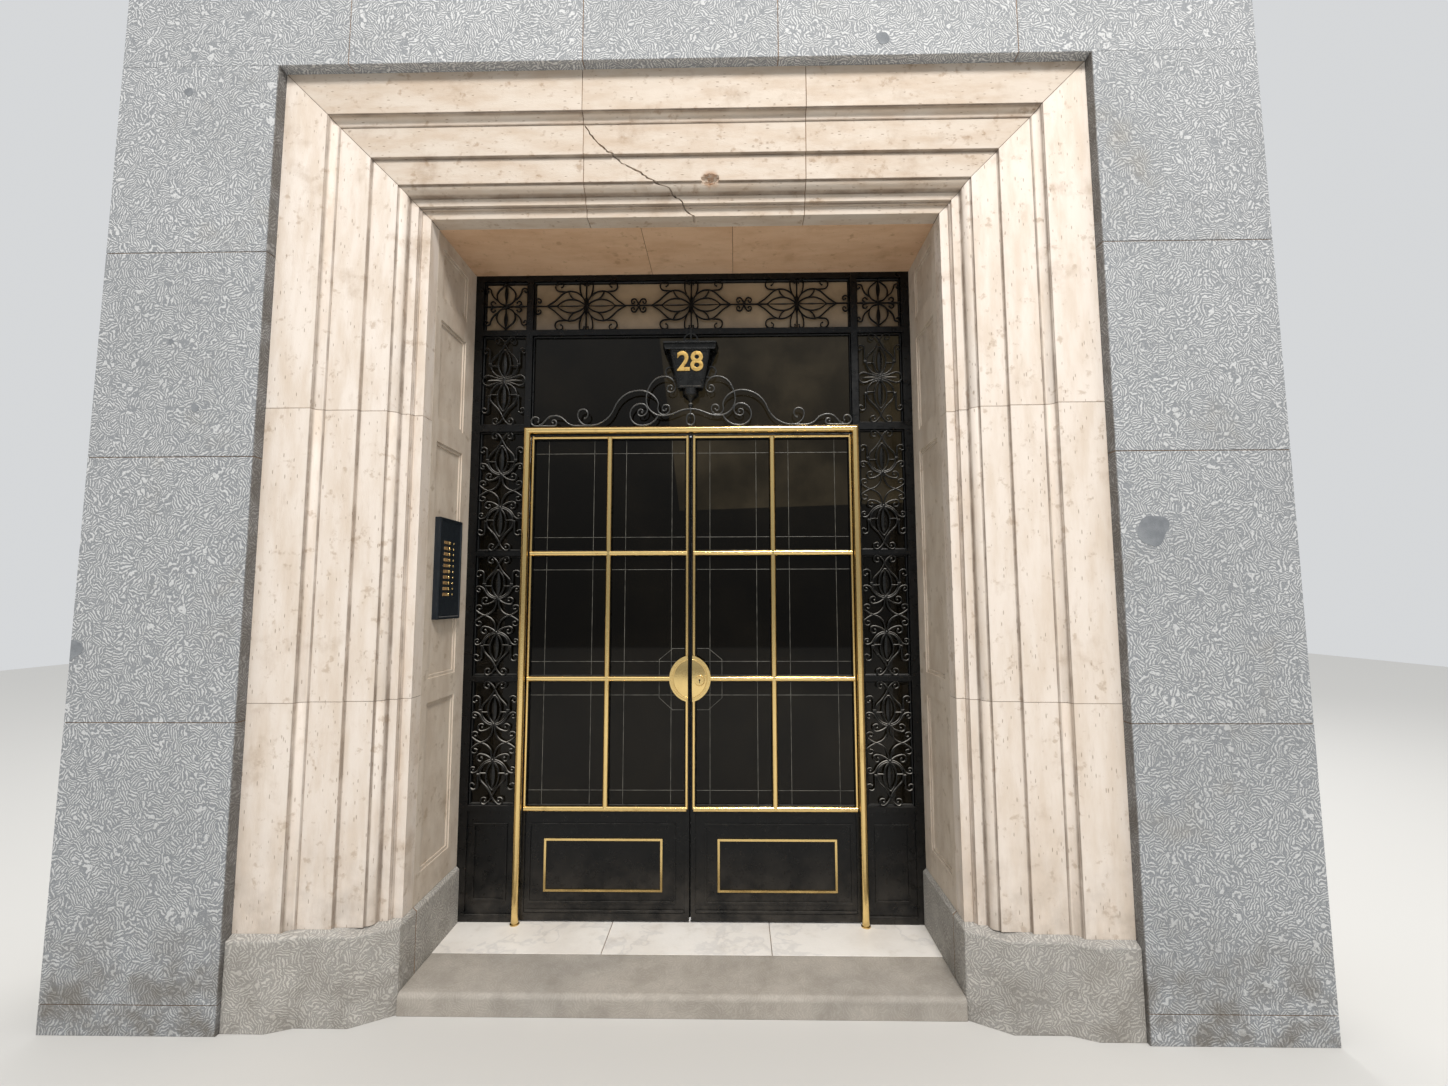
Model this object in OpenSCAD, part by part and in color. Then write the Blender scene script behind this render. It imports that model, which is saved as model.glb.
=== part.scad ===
// Entrance doorway: a pair of glazed iron and brass doors with wrought-iron side lights,
// set in a stepped stone surround inside a granite wall bay. Front faces -Y, pavement is z = 0.

/* [Doorway opening] */
// Clear width between the stone reveals
opening_w = 2200; // [2000:10:2500]
// Height of the soffit above the pavement
soffit_z = 3230; // [3100:10:3500]
// Whole thickness of the wall
wall_t = 800; // [760:10:1000]

/* [Granite bay] */
// Width of the granite strip on each side of the surround
strip_w = 667; // [400:1:900]
// Height of the granite course over the surround
head_course_h = 600; // [300:10:900]
// Thickness of the facing stones, granite and surround alike
facing_t = 240; // [220:5:300]

/* [Stepped surround] */
// Depth of the outer band behind the granite face
band_1_d = 46; // [20:1:80]
// Width of the outer band
band_1_w = 183; // [120:1:240]
// Width of the hollow moulding between outer and middle band
hollow_w = 40; // [36:1:60]
// Radius of that hollow
hollow_r = 24; // [14:1:28]
// Width of the middle band
band_2_w = 134; // [80:1:200]
// Width of the inner band
band_3_w = 114; // [70:1:160]
// Step back from the middle band to the inner band
band_step = 14; // [6:1:20]
// Radius of the round moulding inside the inner band
round_r = 32; // [16:1:40]
// Width of the flat fillet beside the round moulding
fillet_w = 36; // [20:1:50]
// Width of the sunk quirk between the two fillets
quirk_w = 8; // [4:1:14]
// Width of the innermost fillet, at the arris
arris_w = 36; // [20:1:50]

/* [Plinth and steps] */
// Height of the granite plinth under the surround
plinth_h = 333; // [250:1:420]
// Height of the sloping top of the plinth
slope_h = 14; // [8:1:60]
// How far the plinth stands in front of the surround
plinth_proud = 31; // [15:1:40]
// How far the plinth stands out of the reveal
reveal_proud = 15; // [6:1:25]
// Height of the step
step_h = 80; // [60:1:160]
// Depth of the step's front edge behind the granite face
step_d = 117; // [100:1:125]
// Radius of the step's rounded nose
nose_r = 20; // [8:1:30]
// Depth of the threshold's front edge behind the granite face
threshold_d = 388; // [300:1:500]
// Thickness of the threshold slabs
threshold_t = 30; // [20:1:40]

/* [Reveal panels] */
// Thickness of the reveal and soffit lining
lining_t = 40; // [30:1:60]
// Depth of the panels' front edge behind the granite face
panel_d = 290; // [260:1:320]
// Width of a sunk panel
panel_w = 252; // [200:1:280]
// Height of the bottom panel
low_panel_h = 687; // [500:1:750]
// Height of the long panel that holds the bell plate
long_panel_h = 1037; // [900:1:1100]
// Height of the upper panel
high_panel_h = 453; // [300:1:500]
// Stone left between two panels
panel_gap = 104; // [60:1:140]
// Width of the raised border inside a panel's edge
border_w = 14; // [8:1:24]
// Depth to which a panel is sunk
sunk_t = 10; // [6:1:16]

/* [Iron frame] */
// Depth of the frame's front behind the granite face
frame_d = 635; // [600:1:660]
// Thickness of the frame from front to back
frame_t = 45; // [45:1:60]
// Width of the posts against the reveals
post_w = 42; // [30:1:60]
// Clear width of a side light
light_w = 222; // [210:1:260]
// Width of the posts beside the doors
door_post_w = 32; // [30:1:50]
// Height of the bar under the soffit
head_bar_h = 30; // [24:1:50]
// Height of the frieze between the two top bars
frieze_h = 258; // [240:1:276]
// Height of the transom bar
transom_h = 29; // [24:1:40]
// Height of the bar over the doors
bar_h = 38; // [36:1:50]
// Underside of the bar over the doors
door_head_z = 2398; // [2300:1:2500]
// Height of the cross rails in the side lights
rail_h = 24; // [18:1:34]
// Thickness of the glass
glass_t = 6; // [4:1:10]
// Depth of the glass behind the frame's front
glass_d = 25; // [22:1:30]

/* [Forged scrollwork] */
// Width of a forged bar seen from the front
bar_w = 7; // [5:0.5:9]
// Thickness of a forged bar from front to back
bar_t = 10; // [6:0.5:14]
// Depth of the scrolls behind the frame's front
scroll_d = 5; // [2:1:8]

/* [Door leaves] */
// Thickness of a leaf
leaf_t = 40; // [36:1:45]
// Depth of a leaf behind the frame's front
leaf_d = 5; // [3:1:8]
// Free gap round a leaf
leaf_gap = 5; // [5:0.5:8]
// Free gap between the two leaves
meeting_gap = 8; // [8:0.5:12]
// Width of the hanging stile
stile_w = 17; // [14:1:30]
// Width of the meeting stile
meeting_w = 20; // [16:1:30]
// Height of the bottom rail
bottom_rail_h = 32; // [20:1:60]
// Free height under a leaf
floor_gap = 8; // [5:1:12]
// Height of the lowest glazing bar, centre line
low_bar_z = 593; // [550:1:650]
// Height from one glazing bar to the next
bar_pitch = 606; // [560:1:620]
// Width of the brass glazing bars
brass_w = 26; // [20:1:32]
// Width of the brass beads at the leaf's edges
bead_w = 14; // [10:1:16]
// Diameter of the brass tube round the doors
tube_dia = 34; // [26:1:38]
// Thickness of the iron kick panels
kick_t = 24; // [16:1:30]
// Width of the raised lines on the kick panels
line_w = 9; // [6:1:14]
// Radius of the round push plates
disc_r = 112; // [90:1:130]
// Thickness of a push plate
disc_t = 9; // [6:1:12]
// Half width of the dark strip between the two halves of the round plate
disc_cut = 11; // [9:0.5:14]
// Radius of a hinge knuckle
knuckle_r = 9; // [8:0.5:12]
// Length of a hinge knuckle
knuckle_l = 45; // [30:1:70]

/* [Lantern and bell plate] */
// Width of the lantern at its cornice
lantern_w = 280; // [240:1:320]
// Height of the lantern's body
lantern_h = 190; // [150:1:200]
// Depth of the lantern from front to back
lantern_t = 68; // [50:1:80]
// Width of the bell plate
bell_w = 214; // [180:1:216]
// Height of the bell plate
bell_h = 454; // [400:1:500]
// Thickness of the bell plate in front of the reveal
bell_t = 14; // [8:1:20]
// Rows of bell buttons
bell_rows = 10; // [4:1:12]

/* [Hidden] */

half_open = opening_w / 2;

// Stations across the surround, from its outer edge to the arris
a1 = band_1_w;
a2 = a1 + hollow_w;
a3 = a2 + band_2_w;
a4 = a3 + band_3_w;
a5 = a4 + round_r;
a6 = a5 + fillet_w;
a7 = a6 + quirk_w;
surround_w = a7 + arris_w;
outer_x = half_open + surround_w;
half_bay = outer_x + strip_w;
lintel_z = soffit_z + surround_w;
bay_h = lintel_z + head_course_h;

// Depths of the surround's faces behind the granite face
lip = 4;
lip_d = band_1_d + lip + hollow_r;
band_2_d = lip_d + lip;
band_3_d = band_2_d + band_step;
round_d = band_3_d + 2 * lip;
fillet_d = round_d + round_r + 2 * lip;
quirk_d = fillet_d + 3 * lip;
arris_d = fillet_d + 6 * lip;

// Iron frame stations
post_x = half_open - post_w;
light_x = post_x - light_w;
door_x = light_x - door_post_w;
head_bar_z = soffit_z - head_bar_h;
transom_z = head_bar_z - frieze_h - transom_h;
light_head_z = door_head_z + bar_h / 2;
light_rails = [for (i = [0:2]) low_bar_z + i * bar_pitch];
light_cx = (light_x + post_x) / 2;
frame_back = frame_d + frame_t;

// Leaf stations, for the right leaf
leaf_front = frame_d + leaf_d;
leaf_back = leaf_front + leaf_t;
hang_x = door_x - leaf_gap;
meet_x = meeting_gap / 2;
leaf_z = step_h + floor_gap;
leaf_top = door_head_z - leaf_gap;
pane_x0 = meet_x + meeting_w;
pane_x1 = hang_x - stile_w;
muntin_x = (pane_x0 + pane_x1) / 2;
iron_bar = 20;
hinge_zs = [leaf_z + 170, leaf_z + 1120, leaf_top - 170];
hinge_x = door_x - leaf_gap / 2;
hinge_d = leaf_back + knuckle_r;
flap_t = 3;
hair = 0.3;

// Brass tube and what stands on it
tube_r = tube_dia / 2;
tube_x = door_x + 8;
tube_d = frame_d - tube_r;
tube_z = door_head_z + tube_r + 2;
tube_top = tube_z + tube_r;
crest_z = tube_top + 86;

// Lantern
lantern_z = crest_z + 96;
lantern_top = lantern_z + lantern_h;
lantern_front = frame_d - lantern_t;
cornice_h = 33;

fine = 64;

// A block between two x values, two depths behind the granite face and two heights
module block(x, d, z) {
    translate([x[0], d[0] - wall_t / 2, z[0]])
        cube([x[1] - x[0], d[1] - d[0], z[1] - z[0]]);
}

// The same block and its mirror image on the other side of the doorway
module blocks(x, d, z) {
    block(x, d, z);
    block([-x[1], -x[0]], d, z);
}

module left_right() {
    children();
    mirror([1, 0, 0]) children();
}

// Lays a drawing made in x and z at a depth, with its thickness going into the wall
module at_depth(d, t) {
    translate([0, d - wall_t / 2 + t, 0])
        rotate([90, 0, 0])
            linear_extrude(t) children();
}

// Solid through a stack of outlines, each with the same number of corners: [outline, height]
module loft(rings) {
    n = len(rings[0][0]);
    top = len(rings) - 1;
    polyhedron(
        points = [for (ring = rings, p = ring[0]) [p[0], p[1] - wall_t / 2, ring[1]]],
        faces = concat([[for (i = [0:n - 1]) i]], [[for (i = [n - 1:-1:0]) top * n + i]],
            [for (k = [0:top - 1], i = [0:n - 1]) [k * n + i, (k + 1) * n + i, k * n + (i + 1) % n]],
            [for (k = [0:top - 1], i = [0:n - 1])
                [k * n + (i + 1) % n, (k + 1) * n + i, (k + 1) * n + (i + 1) % n]]));
}

// Granite bay

module granite_jamb_right() {
    color("lightsteelblue") block([outer_x, half_bay], [0, facing_t], [0, lintel_z]);
}

module granite_jamb_left() {
    mirror([1, 0, 0]) granite_jamb_right();
}

module granite_head() {
    color("lightsteelblue") block([-half_bay, half_bay], [0, facing_t], [lintel_z, bay_h]);
}

// Masonry behind the facing stones, split beside and over the doorway

module wall_backing() {
    color("gainsboro") blocks([half_open + lining_t, half_bay], [facing_t, wall_t],
        [0, soffit_z + lining_t]);
}

module wall_over_door() {
    color("gainsboro") block([-half_bay, half_bay], [facing_t, wall_t], [soffit_z + lining_t, bay_h]);
}

// Stepped surround: one profile, run up both jambs and across the head, mitred at the corners

module surround_profile() {
    difference() {
        union() {
            polygon([[0, band_1_d], [a1, band_1_d], [a1, band_1_d + lip],
                [a1 + lip + hollow_r, band_1_d + lip], [a1 + lip + hollow_r, lip_d], [a2, lip_d],
                [a2, band_2_d], [a3, band_2_d], [a3, band_3_d], [a4, band_3_d],
                [a4, round_d + round_r], [a5, round_d + round_r], [a5, fillet_d], [a6, fillet_d],
                [a6, quirk_d], [a7, quirk_d], [a7, arris_d], [surround_w, arris_d],
                [surround_w, facing_t], [0, facing_t]]);
            translate([a4, round_d + round_r]) circle(r = round_r, $fn = fine);
        }
        translate([a1 + lip + hollow_r, band_1_d + lip]) circle(r = hollow_r, $fn = fine);
    }
}

module surround_jamb_left() {
    color("antiquewhite") intersection() {
        translate([-outer_x, -wall_t / 2, plinth_h])
            linear_extrude(lintel_z - plinth_h) surround_profile();
        at_depth(0, facing_t) polygon([[-outer_x, plinth_h], [-half_open, plinth_h],
            [-half_open, soffit_z], [-outer_x, lintel_z]]);
    }
}

module surround_jamb_right() {
    mirror([1, 0, 0]) surround_jamb_left();
}

module surround_head() {
    color("antiquewhite") intersection() {
        translate([-outer_x, -wall_t / 2, lintel_z])
            rotate([0, 90, 0])
                linear_extrude(2 * outer_x) surround_profile();
        at_depth(0, facing_t) polygon([[-outer_x, lintel_z], [-half_open, soffit_z],
            [half_open, soffit_z], [outer_x, lintel_z]]);
    }
}

// Granite plinth: its plan follows the surround, its top slopes back to the surround's faces

function plinth_plan(low) = [for (p = low ? [[0, band_1_d - plinth_proud],
        [a1 - plinth_proud / 2, band_1_d - plinth_proud], [a2 + plinth_proud, band_2_d - plinth_proud],
        [a4 - plinth_proud / 2, band_2_d - plinth_proud],
        [surround_w + reveal_proud, fillet_d - reveal_proud],
        [surround_w + reveal_proud, frame_d], [surround_w - lining_t, frame_d],
        [surround_w - lining_t, facing_t], [0, facing_t]]
    : [[0, band_1_d], [a1, band_1_d], [a2, band_2_d], [a3, band_2_d],
        [surround_w, arris_d], [surround_w, frame_d], [surround_w - lining_t, frame_d],
        [surround_w - lining_t, facing_t], [0, facing_t]]) [p[0] - outer_x, p[1]]];

module plinth_left() {
    color("lightslategray") loft([[plinth_plan(true), 0], [plinth_plan(true), plinth_h - slope_h],
        [plinth_plan(false), plinth_h]]);
}

module plinth_right() {
    mirror([1, 0, 0]) plinth_left();
}

// Reveal lining with four sunk panels, the long one cut for the bell plate on the left

panel_heights = [low_panel_h, long_panel_h, high_panel_h, soffit_z - plinth_h - 120 - low_panel_h
    - long_panel_h - high_panel_h - 3 * panel_gap - 60];
function panel_z(i) = i == 0 ? plinth_h + 120 : panel_z(i - 1) + panel_heights[i - 1] + panel_gap;
bell_z = panel_z(1) + 250;
bell_d = panel_d + panel_w / 2 + 14;

module sunk_panel(z, h) {
    block([half_open - 1, half_open + sunk_t / 2], [panel_d, panel_d + panel_w], [z, z + h]);
    block([half_open - 1, half_open + sunk_t],
        [panel_d + border_w, panel_d + panel_w - border_w], [z + border_w, z + h - border_w]);
}

module reveal_lining_right() {
    color("antiquewhite") difference() {
        block([half_open, half_open + lining_t], [facing_t, wall_t], [0, soffit_z]);
        block([half_open - 1, half_open + lining_t + 1], [facing_t - 1, frame_d], [-1, plinth_h]);
        for (i = [0:3]) sunk_panel(panel_z(i), panel_heights[i]);
    }
}

module bell_body() {
    block([-half_open - sunk_t, -half_open + bell_t], [bell_d - bell_w / 2, bell_d + bell_w / 2],
        [bell_z, bell_z + bell_h]);
}

module reveal_lining_left() {
    color("antiquewhite") difference() {
        mirror([1, 0, 0]) reveal_lining_right();
        bell_body();
    }
}

module soffit_lining() {
    color("wheat") block([-half_open - lining_t, half_open + lining_t], [facing_t, wall_t],
        [soffit_z, soffit_z + lining_t]);
}

// Step and threshold

tread_x = half_open - reveal_proud;

module front_step() {
    color("slategray") union() {
        translate([-tread_x, -wall_t / 2, 0]) rotate([90, 0, 90]) linear_extrude(2 * tread_x) union() {
            polygon([[step_d, 0], [frame_d, 0], [frame_d, step_h - threshold_t],
                [threshold_d, step_h - threshold_t], [threshold_d, step_h],
                [step_d + nose_r, step_h], [step_d + nose_r, step_h - nose_r], [step_d, step_h - nose_r]]);
            translate([step_d + nose_r, step_h - nose_r]) circle(r = nose_r, $fn = fine);
        }
        block([-half_open, half_open], [frame_d, wall_t], [0, step_h - threshold_t]);
    }
}

module marble_threshold() {
    color("whitesmoke") union() {
        block([-tread_x, tread_x], [threshold_d, frame_d], [step_h - threshold_t, step_h]);
        block([-half_open, half_open], [frame_d, wall_t], [step_h - threshold_t, step_h]);
    }
}

// Iron frame

module frame_uprights() {
    color("black") {
        blocks([post_x, half_open], [frame_d, frame_back], [step_h, soffit_z]);
        blocks([door_x, light_x], [frame_d, frame_back], [step_h, head_bar_z]);
    }
}

module frame_bars() {
    color("black") {
        block([-post_x, post_x], [frame_d, frame_back], [head_bar_z, soffit_z]);
        block([-door_x, door_x], [frame_d, frame_back], [transom_z, transom_z + transom_h]);
        blocks([light_x, post_x], [frame_d, frame_back], [transom_z, transom_z + transom_h]);
        block([-door_x, door_x], [frame_d, frame_back], [door_head_z, door_head_z + bar_h]);
    }
}

module side_rails() {
    color("black") {
        blocks([light_x, post_x], [frame_d, frame_back], [light_head_z, light_head_z + bar_h - 4]);
        for (z = light_rails)
            blocks([light_x, post_x], [frame_d, frame_back], [z - rail_h / 2, z + rail_h / 2]);
    }
}

// A flat rectangular ring, drawn in x and z
module line_frame(x, z, w) {
    difference() {
        translate([x[0], z[0]]) square([x[1] - x[0], z[1] - z[0]]);
        translate([x[0] + w, z[0] + w]) square([x[1] - x[0] - 2 * w, z[1] - z[0] - 2 * w]);
    }
}

kick_plate_d = frame_d + 10;
kick_top = low_bar_z - rail_h / 2;
line_t = 6;

module side_kick_panels() {
    color("black") left_right() union() {
        block([light_x, post_x], [kick_plate_d, kick_plate_d + kick_t], [step_h, kick_top]);
        block([light_x, post_x], [frame_d, kick_plate_d], [step_h, step_h + bottom_rail_h]);
        at_depth(kick_plate_d - line_t, line_t)
            line_frame([light_x + 30, post_x - 30], [step_h + 92, kick_top - 58], line_w);
    }
}

// Forged scrollwork: every bar is a chain of arcs and straights, each running on from the last

eye_r = bar_w * 0.72;
tie_r = bar_w / 2 + hair;
knot_r = 9;

function step_end(p, h, size, turn) = turn == 0 ? p + size * [cos(h), sin(h)]
    : p + (turn > 0 ? size : -size) * [sin(h + turn) - sin(h), cos(h) - cos(h + turn)];

// One step of a bar, cut a hair short at both ends, where round joints take over
module bar_step(p, h, size, turn) {
    if (turn == 0) {
        translate(p) rotate(h) translate([hair, -bar_w / 2]) square([size - 2 * hair, bar_w]);
    } else {
        side = turn > 0 ? 1 : -1;
        short = side * hair * 57.3 / size;
        start = h - side * 90 + short;
        swept = turn - 2 * short;
        n = ceil(abs(swept) / 60);
        reach = 2 * (size + bar_w);
        translate(p + side * size * [-sin(h), cos(h)]) intersection() {
            difference() {
                circle(r = size + bar_w / 2, $fn = fine);
                circle(r = size - bar_w / 2, $fn = fine);
            }
            polygon(concat([[0, 0]],
                [for (i = [0:n]) reach * [cos(start + swept * i / n), sin(start + swept * i / n)]]));
        }
    }
}

// Bar from p with heading h (degrees). Steps are [radius, turn] or [length, 0], a left turn positive;
// the end is rounded with radius end_r, or left square when that is 0
module scroll(p, h, steps, end_r = eye_r, i = 0) {
    q = step_end(p, h, steps[i][0], steps[i][1]);
    bar_step(p, h, steps[i][0], steps[i][1]);
    if (i < len(steps) - 1) {
        dot(q, tie_r);
        scroll(q, h + steps[i][1], steps, end_r, i + 1);
    } else if (end_r > 0) {
        dot(q, end_r);
    }
}

module dot(p, r) {
    translate(p) circle(r = r, $fn = fine);
}

module level_bar(x, z = 0) {
    translate([x[0], z - bar_w / 2]) square([x[1] - x[0], bar_w]);
}

module mirrored() {
    children();
    mirror([1, 0]) children();
}

module up_down() {
    children();
    mirror([0, 1]) children();
}

// Pointed leaf: the lens shared by two circles
module leaf(half_l, half_w) {
    r = (half_l * half_l + half_w * half_w) / (2 * half_w);
    intersection() {
        translate([r - half_w, 0]) circle(r = r, $fn = 360);
        translate([half_w - r, 0]) circle(r = r, $fn = 360);
    }
}

// Bud: a round base drawn in to a point, where the bars cross and curl back as two scrolls,
// with two inner petals tied to the outline, a solid leaf in the middle and a knot at the foot.
// A bud taller than its light is wide gets straight sides
petal_w = 28;
tip_rise = 36.6;
bud_lean = (cos(112) - cos(140)) / (sin(112) - sin(140));
bud_length = 1 + bud_lean + 0.8 * (sin(50) - (1 - cos(50)) * bud_lean);
bud_max_r = light_w / 2 - 38;
function bud_r(long) = min(long / bud_length, bud_max_r);

module bud(base_z, long) {
    r = bud_r(long);
    side_l = long - r * bud_length;
    neck_r = r * (1 - 0.8 * (1 - cos(50))) / (sin(112) - sin(140));
    petal_l = long * 0.4;
    petal_r = (petal_l * petal_l + petal_w * petal_w) / (2 * petal_w);
    petal_a = asin(petal_l / petal_r);
    mirrored() {
        scroll([0, base_z], 0, concat([[r, 90]], side_l > hair ? [[side_l, 0]] : [],
            [[0.8 * r, 50], [neck_r, -28], [73, 35], [16, 213], [9, 150]]));
        scroll([3, base_z + 2], 90 - petal_a, [[petal_r, 2 * petal_a]]);
        translate([petal_w + 1, base_z + r - 10]) square([r - petal_w - 1, 5]);
    }
    translate([0, base_z + petal_l]) leaf(petal_l + 1, 12);
    dot([0, base_z - 4], knot_r);
}

// Hook beside a bud: rises from a collar on the outline and curls against the post
module hook(r, half_w, z, stem) {
    x = r + bar_w + 0.6;
    hook_r = (half_w - bar_w / 2 - x) / 2;
    scroll([x, z - 4], 90, [[stem + 4, 0], [hook_r, -190], [hook_r * 0.55, -150]]);
    translate([r - 4.5, z - 6]) square([x - r + 9, 12]);
}

// Upper half of a side light panel, from the middle of the panel to its top rail
module half_panel(half_w, half_h) {
    foot = 88;
    long = half_h - bar_w / 2 - tip_rise - foot;
    r = bud_r(long);
    sweep_r = r + bar_w + 0.6;
    sweep_l = 8 + (half_w - bar_w / 2 - 43.8 - sweep_r * sin(60)) / cos(60);
    bud(foot, long);
    mirrored() {
        hook(r, half_w, foot + r, 50);
        scroll([0, foot - bar_w - 0.6], 0, [[sweep_r, 60], [sweep_l, 0], [30, -60], [13.8, -180], [7, -170]]);
        scroll([4, foot - 6], -50, [[80, 45], [17, 190], [9, 150]]);
        scroll([4.5, foot - 8], -88, [[200, 8], [62, 65], [(half_w - 62) / 0.384, -25], [16, -190],
            [9, -150]]);
    }
}

// Half of the double flower beside the transom light
module half_flower(half_w, half_h) {
    base = 14;
    long = half_h - bar_w / 2 - tip_rise - base;
    bow_l = (half_w - bar_w / 2 - 62.73) / 1.42815;
    bow_r = 15.026 + 0.36397 * bow_l;
    bud(base, long);
    mirrored() {
        hook(bud_r(long), half_w, base + bud_r(long), 70);
        scroll([2, 4], 8, [[200, 12], [bow_l, 0], [bow_r, -110]], 0);
    }
}

module side_scrolls_right() {
    color("black") at_depth(frame_d + scroll_d, bar_t) {
        for (i = [0:2]) {
            low = light_rails[i] + rail_h / 2;
            high = i == 2 ? light_head_z : light_rails[i + 1] - rail_h / 2;
            translate([light_cx, (low + high) / 2]) up_down()
                half_panel(light_w / 2, (high - low) / 2);
        }
        translate([light_cx, (light_head_z + bar_h - 4 + transom_z) / 2]) {
            up_down() half_flower(light_w / 2, (transom_z - light_head_z - bar_h + 4) / 2);
            dot([0, 0], knot_r - 1);
            mirrored() {
                dot([light_w / 2 - tie_r, 0], tie_r);
                translate([46, 0]) rotate(90) leaf(46, 6);
            }
        }
    }
}

module side_scrolls_left() {
    mirror([1, 0, 0]) side_scrolls_right();
}

frieze_z = transom_z + transom_h + frieze_h / 2;

// Square corner of the frieze: a flower of eight rays ending in curls
module corner_flower(half_w, half_h) {
    u = min(half_w / 111, half_h / 129);
    level_bar([-half_w, half_w]);
    translate([-bar_w / 2, -half_h]) square([bar_w, 2 * half_h]);
    dot([0, 0], 11);
    mirrored() {
        translate([68, 0]) rotate(90) leaf(34, 8);
        up_down() {
            scroll([0, 8], 0, [[48 * u, 90], [48 * u, 50], [40.3 * u, 0]], 0);
            dot([41.6 * u, 8 + 24 * u], tie_r);
            scroll([41.6 * u, 8 + 24 * u], 36, [[15.6 * u, 0], [60 * u, 42], [10 * u, 0], [14 * u, -190],
                [7 * u, -160]]);
            scroll([66 * u, 2], 40, [[10, 0], [11 * u, 215]]);
        }
    }
    up_down() {
        translate([0, 8 + 60 * u]) leaf(48 * u, 10);
        dot([0, 8 + 110.7 * u], tie_r + 1);
    }
}

module frieze_corners() {
    color("black") left_right() at_depth(frame_d + scroll_d, bar_t)
        translate([light_cx, frieze_z]) corner_flower(light_w / 2, frieze_h / 2);
}

// Frieze over the transom light: three motifs, each of two buds lying back to back and a lyre
motif_pitch = door_x * 2 / 3;
motif_l = motif_pitch * 0.373;
motif_petal = 70;
motif_lean = (cos(120) - cos(138)) / (sin(120) - sin(138));

module frieze_motif() {
    half_h = frieze_h / 2;
    base = 4;
    long = motif_l - base;
    r = min(long / 2.502, half_h * 0.72);
    side_r = (long - r - r * motif_lean) / (sin(48) - (1 - cos(48)) * motif_lean);
    neck_r = (r - side_r * (1 - cos(48))) / (sin(120) - sin(138));
    petal_r = (pow(motif_petal, 2) + 1024) / 64;
    petal_a = asin(motif_petal / petal_r);
    hook_x = r - side_r * (1 - cos(20));
    hook_r = (half_h - bar_w / 2 - hook_x - 33 * cos(85)) / (1 + sin(85));
    for (turn = [90, -90]) rotate(turn) {
        mirrored() {
            scroll([0, base], 0, [[r, 90], [side_r, 48], [neck_r, -18]], 0);
            scroll([3, base + 2], 90 - petal_a, [[petal_r, 2 * petal_a]]);
            dot([hook_x, base + r + side_r * sin(20)], tie_r);
            scroll([hook_x, base + r + side_r * sin(20)], 85, [[33, 0], [hook_r, -190],
                [hook_r * 0.55, -150]]);
            scroll([r - 2, base + r + 8], 190, [[0.75 * r, 50]], tie_r);
        }
        translate([0, base + motif_petal]) leaf(motif_petal + 2, 5);
        dot([0, motif_l], tie_r + 1.5);
    }
    translate([-bar_w / 2, -half_h]) square([bar_w, frieze_h]);
    leaf(60, 11);
    mirrored() up_down() {
        lyre_z = r * sin(41);
        dot([base + r * (1 - cos(41)), lyre_z], tie_r);
        scroll([base + r * (1 - cos(41)), lyre_z], 72, [[18, 0], [100, 18],
            [half_h - bar_w / 2 - 12 - lyre_z - 18 * sin(72) - 100 * cos(72), 0], [12, 195]]);
    }
}

// Link between two motifs: four bars crossing in a small diamond and curling out
module frieze_link() {
    mirrored() up_down() {
        dot([-9, -1], tie_r);
        scroll([-9, -1], 48, [[14, 0], [50, 22], [14, -190], [7, -160]]);
    }
}

// Half a link against the door post: a curl above and below the bar
module post_link() {
    up_down() {
        dot([-8, 2], tie_r);
        scroll([-8, 2], 90, [[25, 0], [14, 190], [7, 160]]);
    }
}

module frieze_scrolls() {
    petal_tip = motif_petal * 2 + 6;
    color("black") at_depth(frame_d + scroll_d, bar_t) translate([0, frieze_z]) {
        for (i = [-1:1]) translate([i * motif_pitch, 0]) frieze_motif();
        mirrored() {
            translate([motif_pitch / 2, 0]) frieze_link();
            translate([door_x, 0]) post_link();
            level_bar([petal_tip, motif_pitch / 2 - 8]);
            level_bar([motif_pitch / 2 + 8, motif_pitch - petal_tip]);
            level_bar([motif_pitch + petal_tip, door_x]);
        }
    }
}

// Crest over the doors, standing on the brass tube: waves and spirals falling away from the middle
crest_d = tube_d - bar_t / 2;
crest_rise = crest_z - tube_top;
crest_end = door_x - 34;
module crest_half() {
    low = bar_w / 2 + hair;
    // Middle wave: a dip, then up behind the lantern and over into a small spiral
    scroll([0, crest_rise], 180, [[152, 27.3], [152, -27.3], [82, -90], [148, -35], [78, -55], [56, -90],
        [25, -90], [18, -180], [9.5, -150]]);
    // Large spiral that hangs from the dip and rests on the tube
    scroll([-160, low + 81.4 * (1 - cos(68))], 248, [[81.4, -68], [10.5, 0], [55, -180], [31, -180],
        [17, -180], [9, -150]]);
    // Long wave from the tube up and over into the ring above the dip
    scroll([-505, low], 0, [[133, 70.6], [133, -70.6], [101, -58.6], [50, -45.8], [30, 205], [19, 180],
        [10, 150]]);
    // Spiral at the long wave's foot, and the collar that holds both
    scroll([-505, low], 180, [[57, -90], [27, -90], [24, -160]]);
    translate([-515, hair / 2]) square([20, bar_w + 2]);
    // Outer wave
    level_bar([-569, -510], low);
    dot([-569, low], tie_r);
    scroll([-569, low], 180, [[71, -50.6], [71, 50.6], [52, 50], [18, 0], [40, -25], [8, 0]]);
    // Small scroll under the outer wave, curled at both ends
    level_bar([-crest_end, -682], low);
    dot([-682, low], tie_r);
    dot([-crest_end, low], tie_r);
    scroll([-682, low], 0, [[15, 180], [8, 150]]);
    scroll([-crest_end, low], 180, [[24, -90], [22, -90], [16, -130]]);
}

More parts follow.
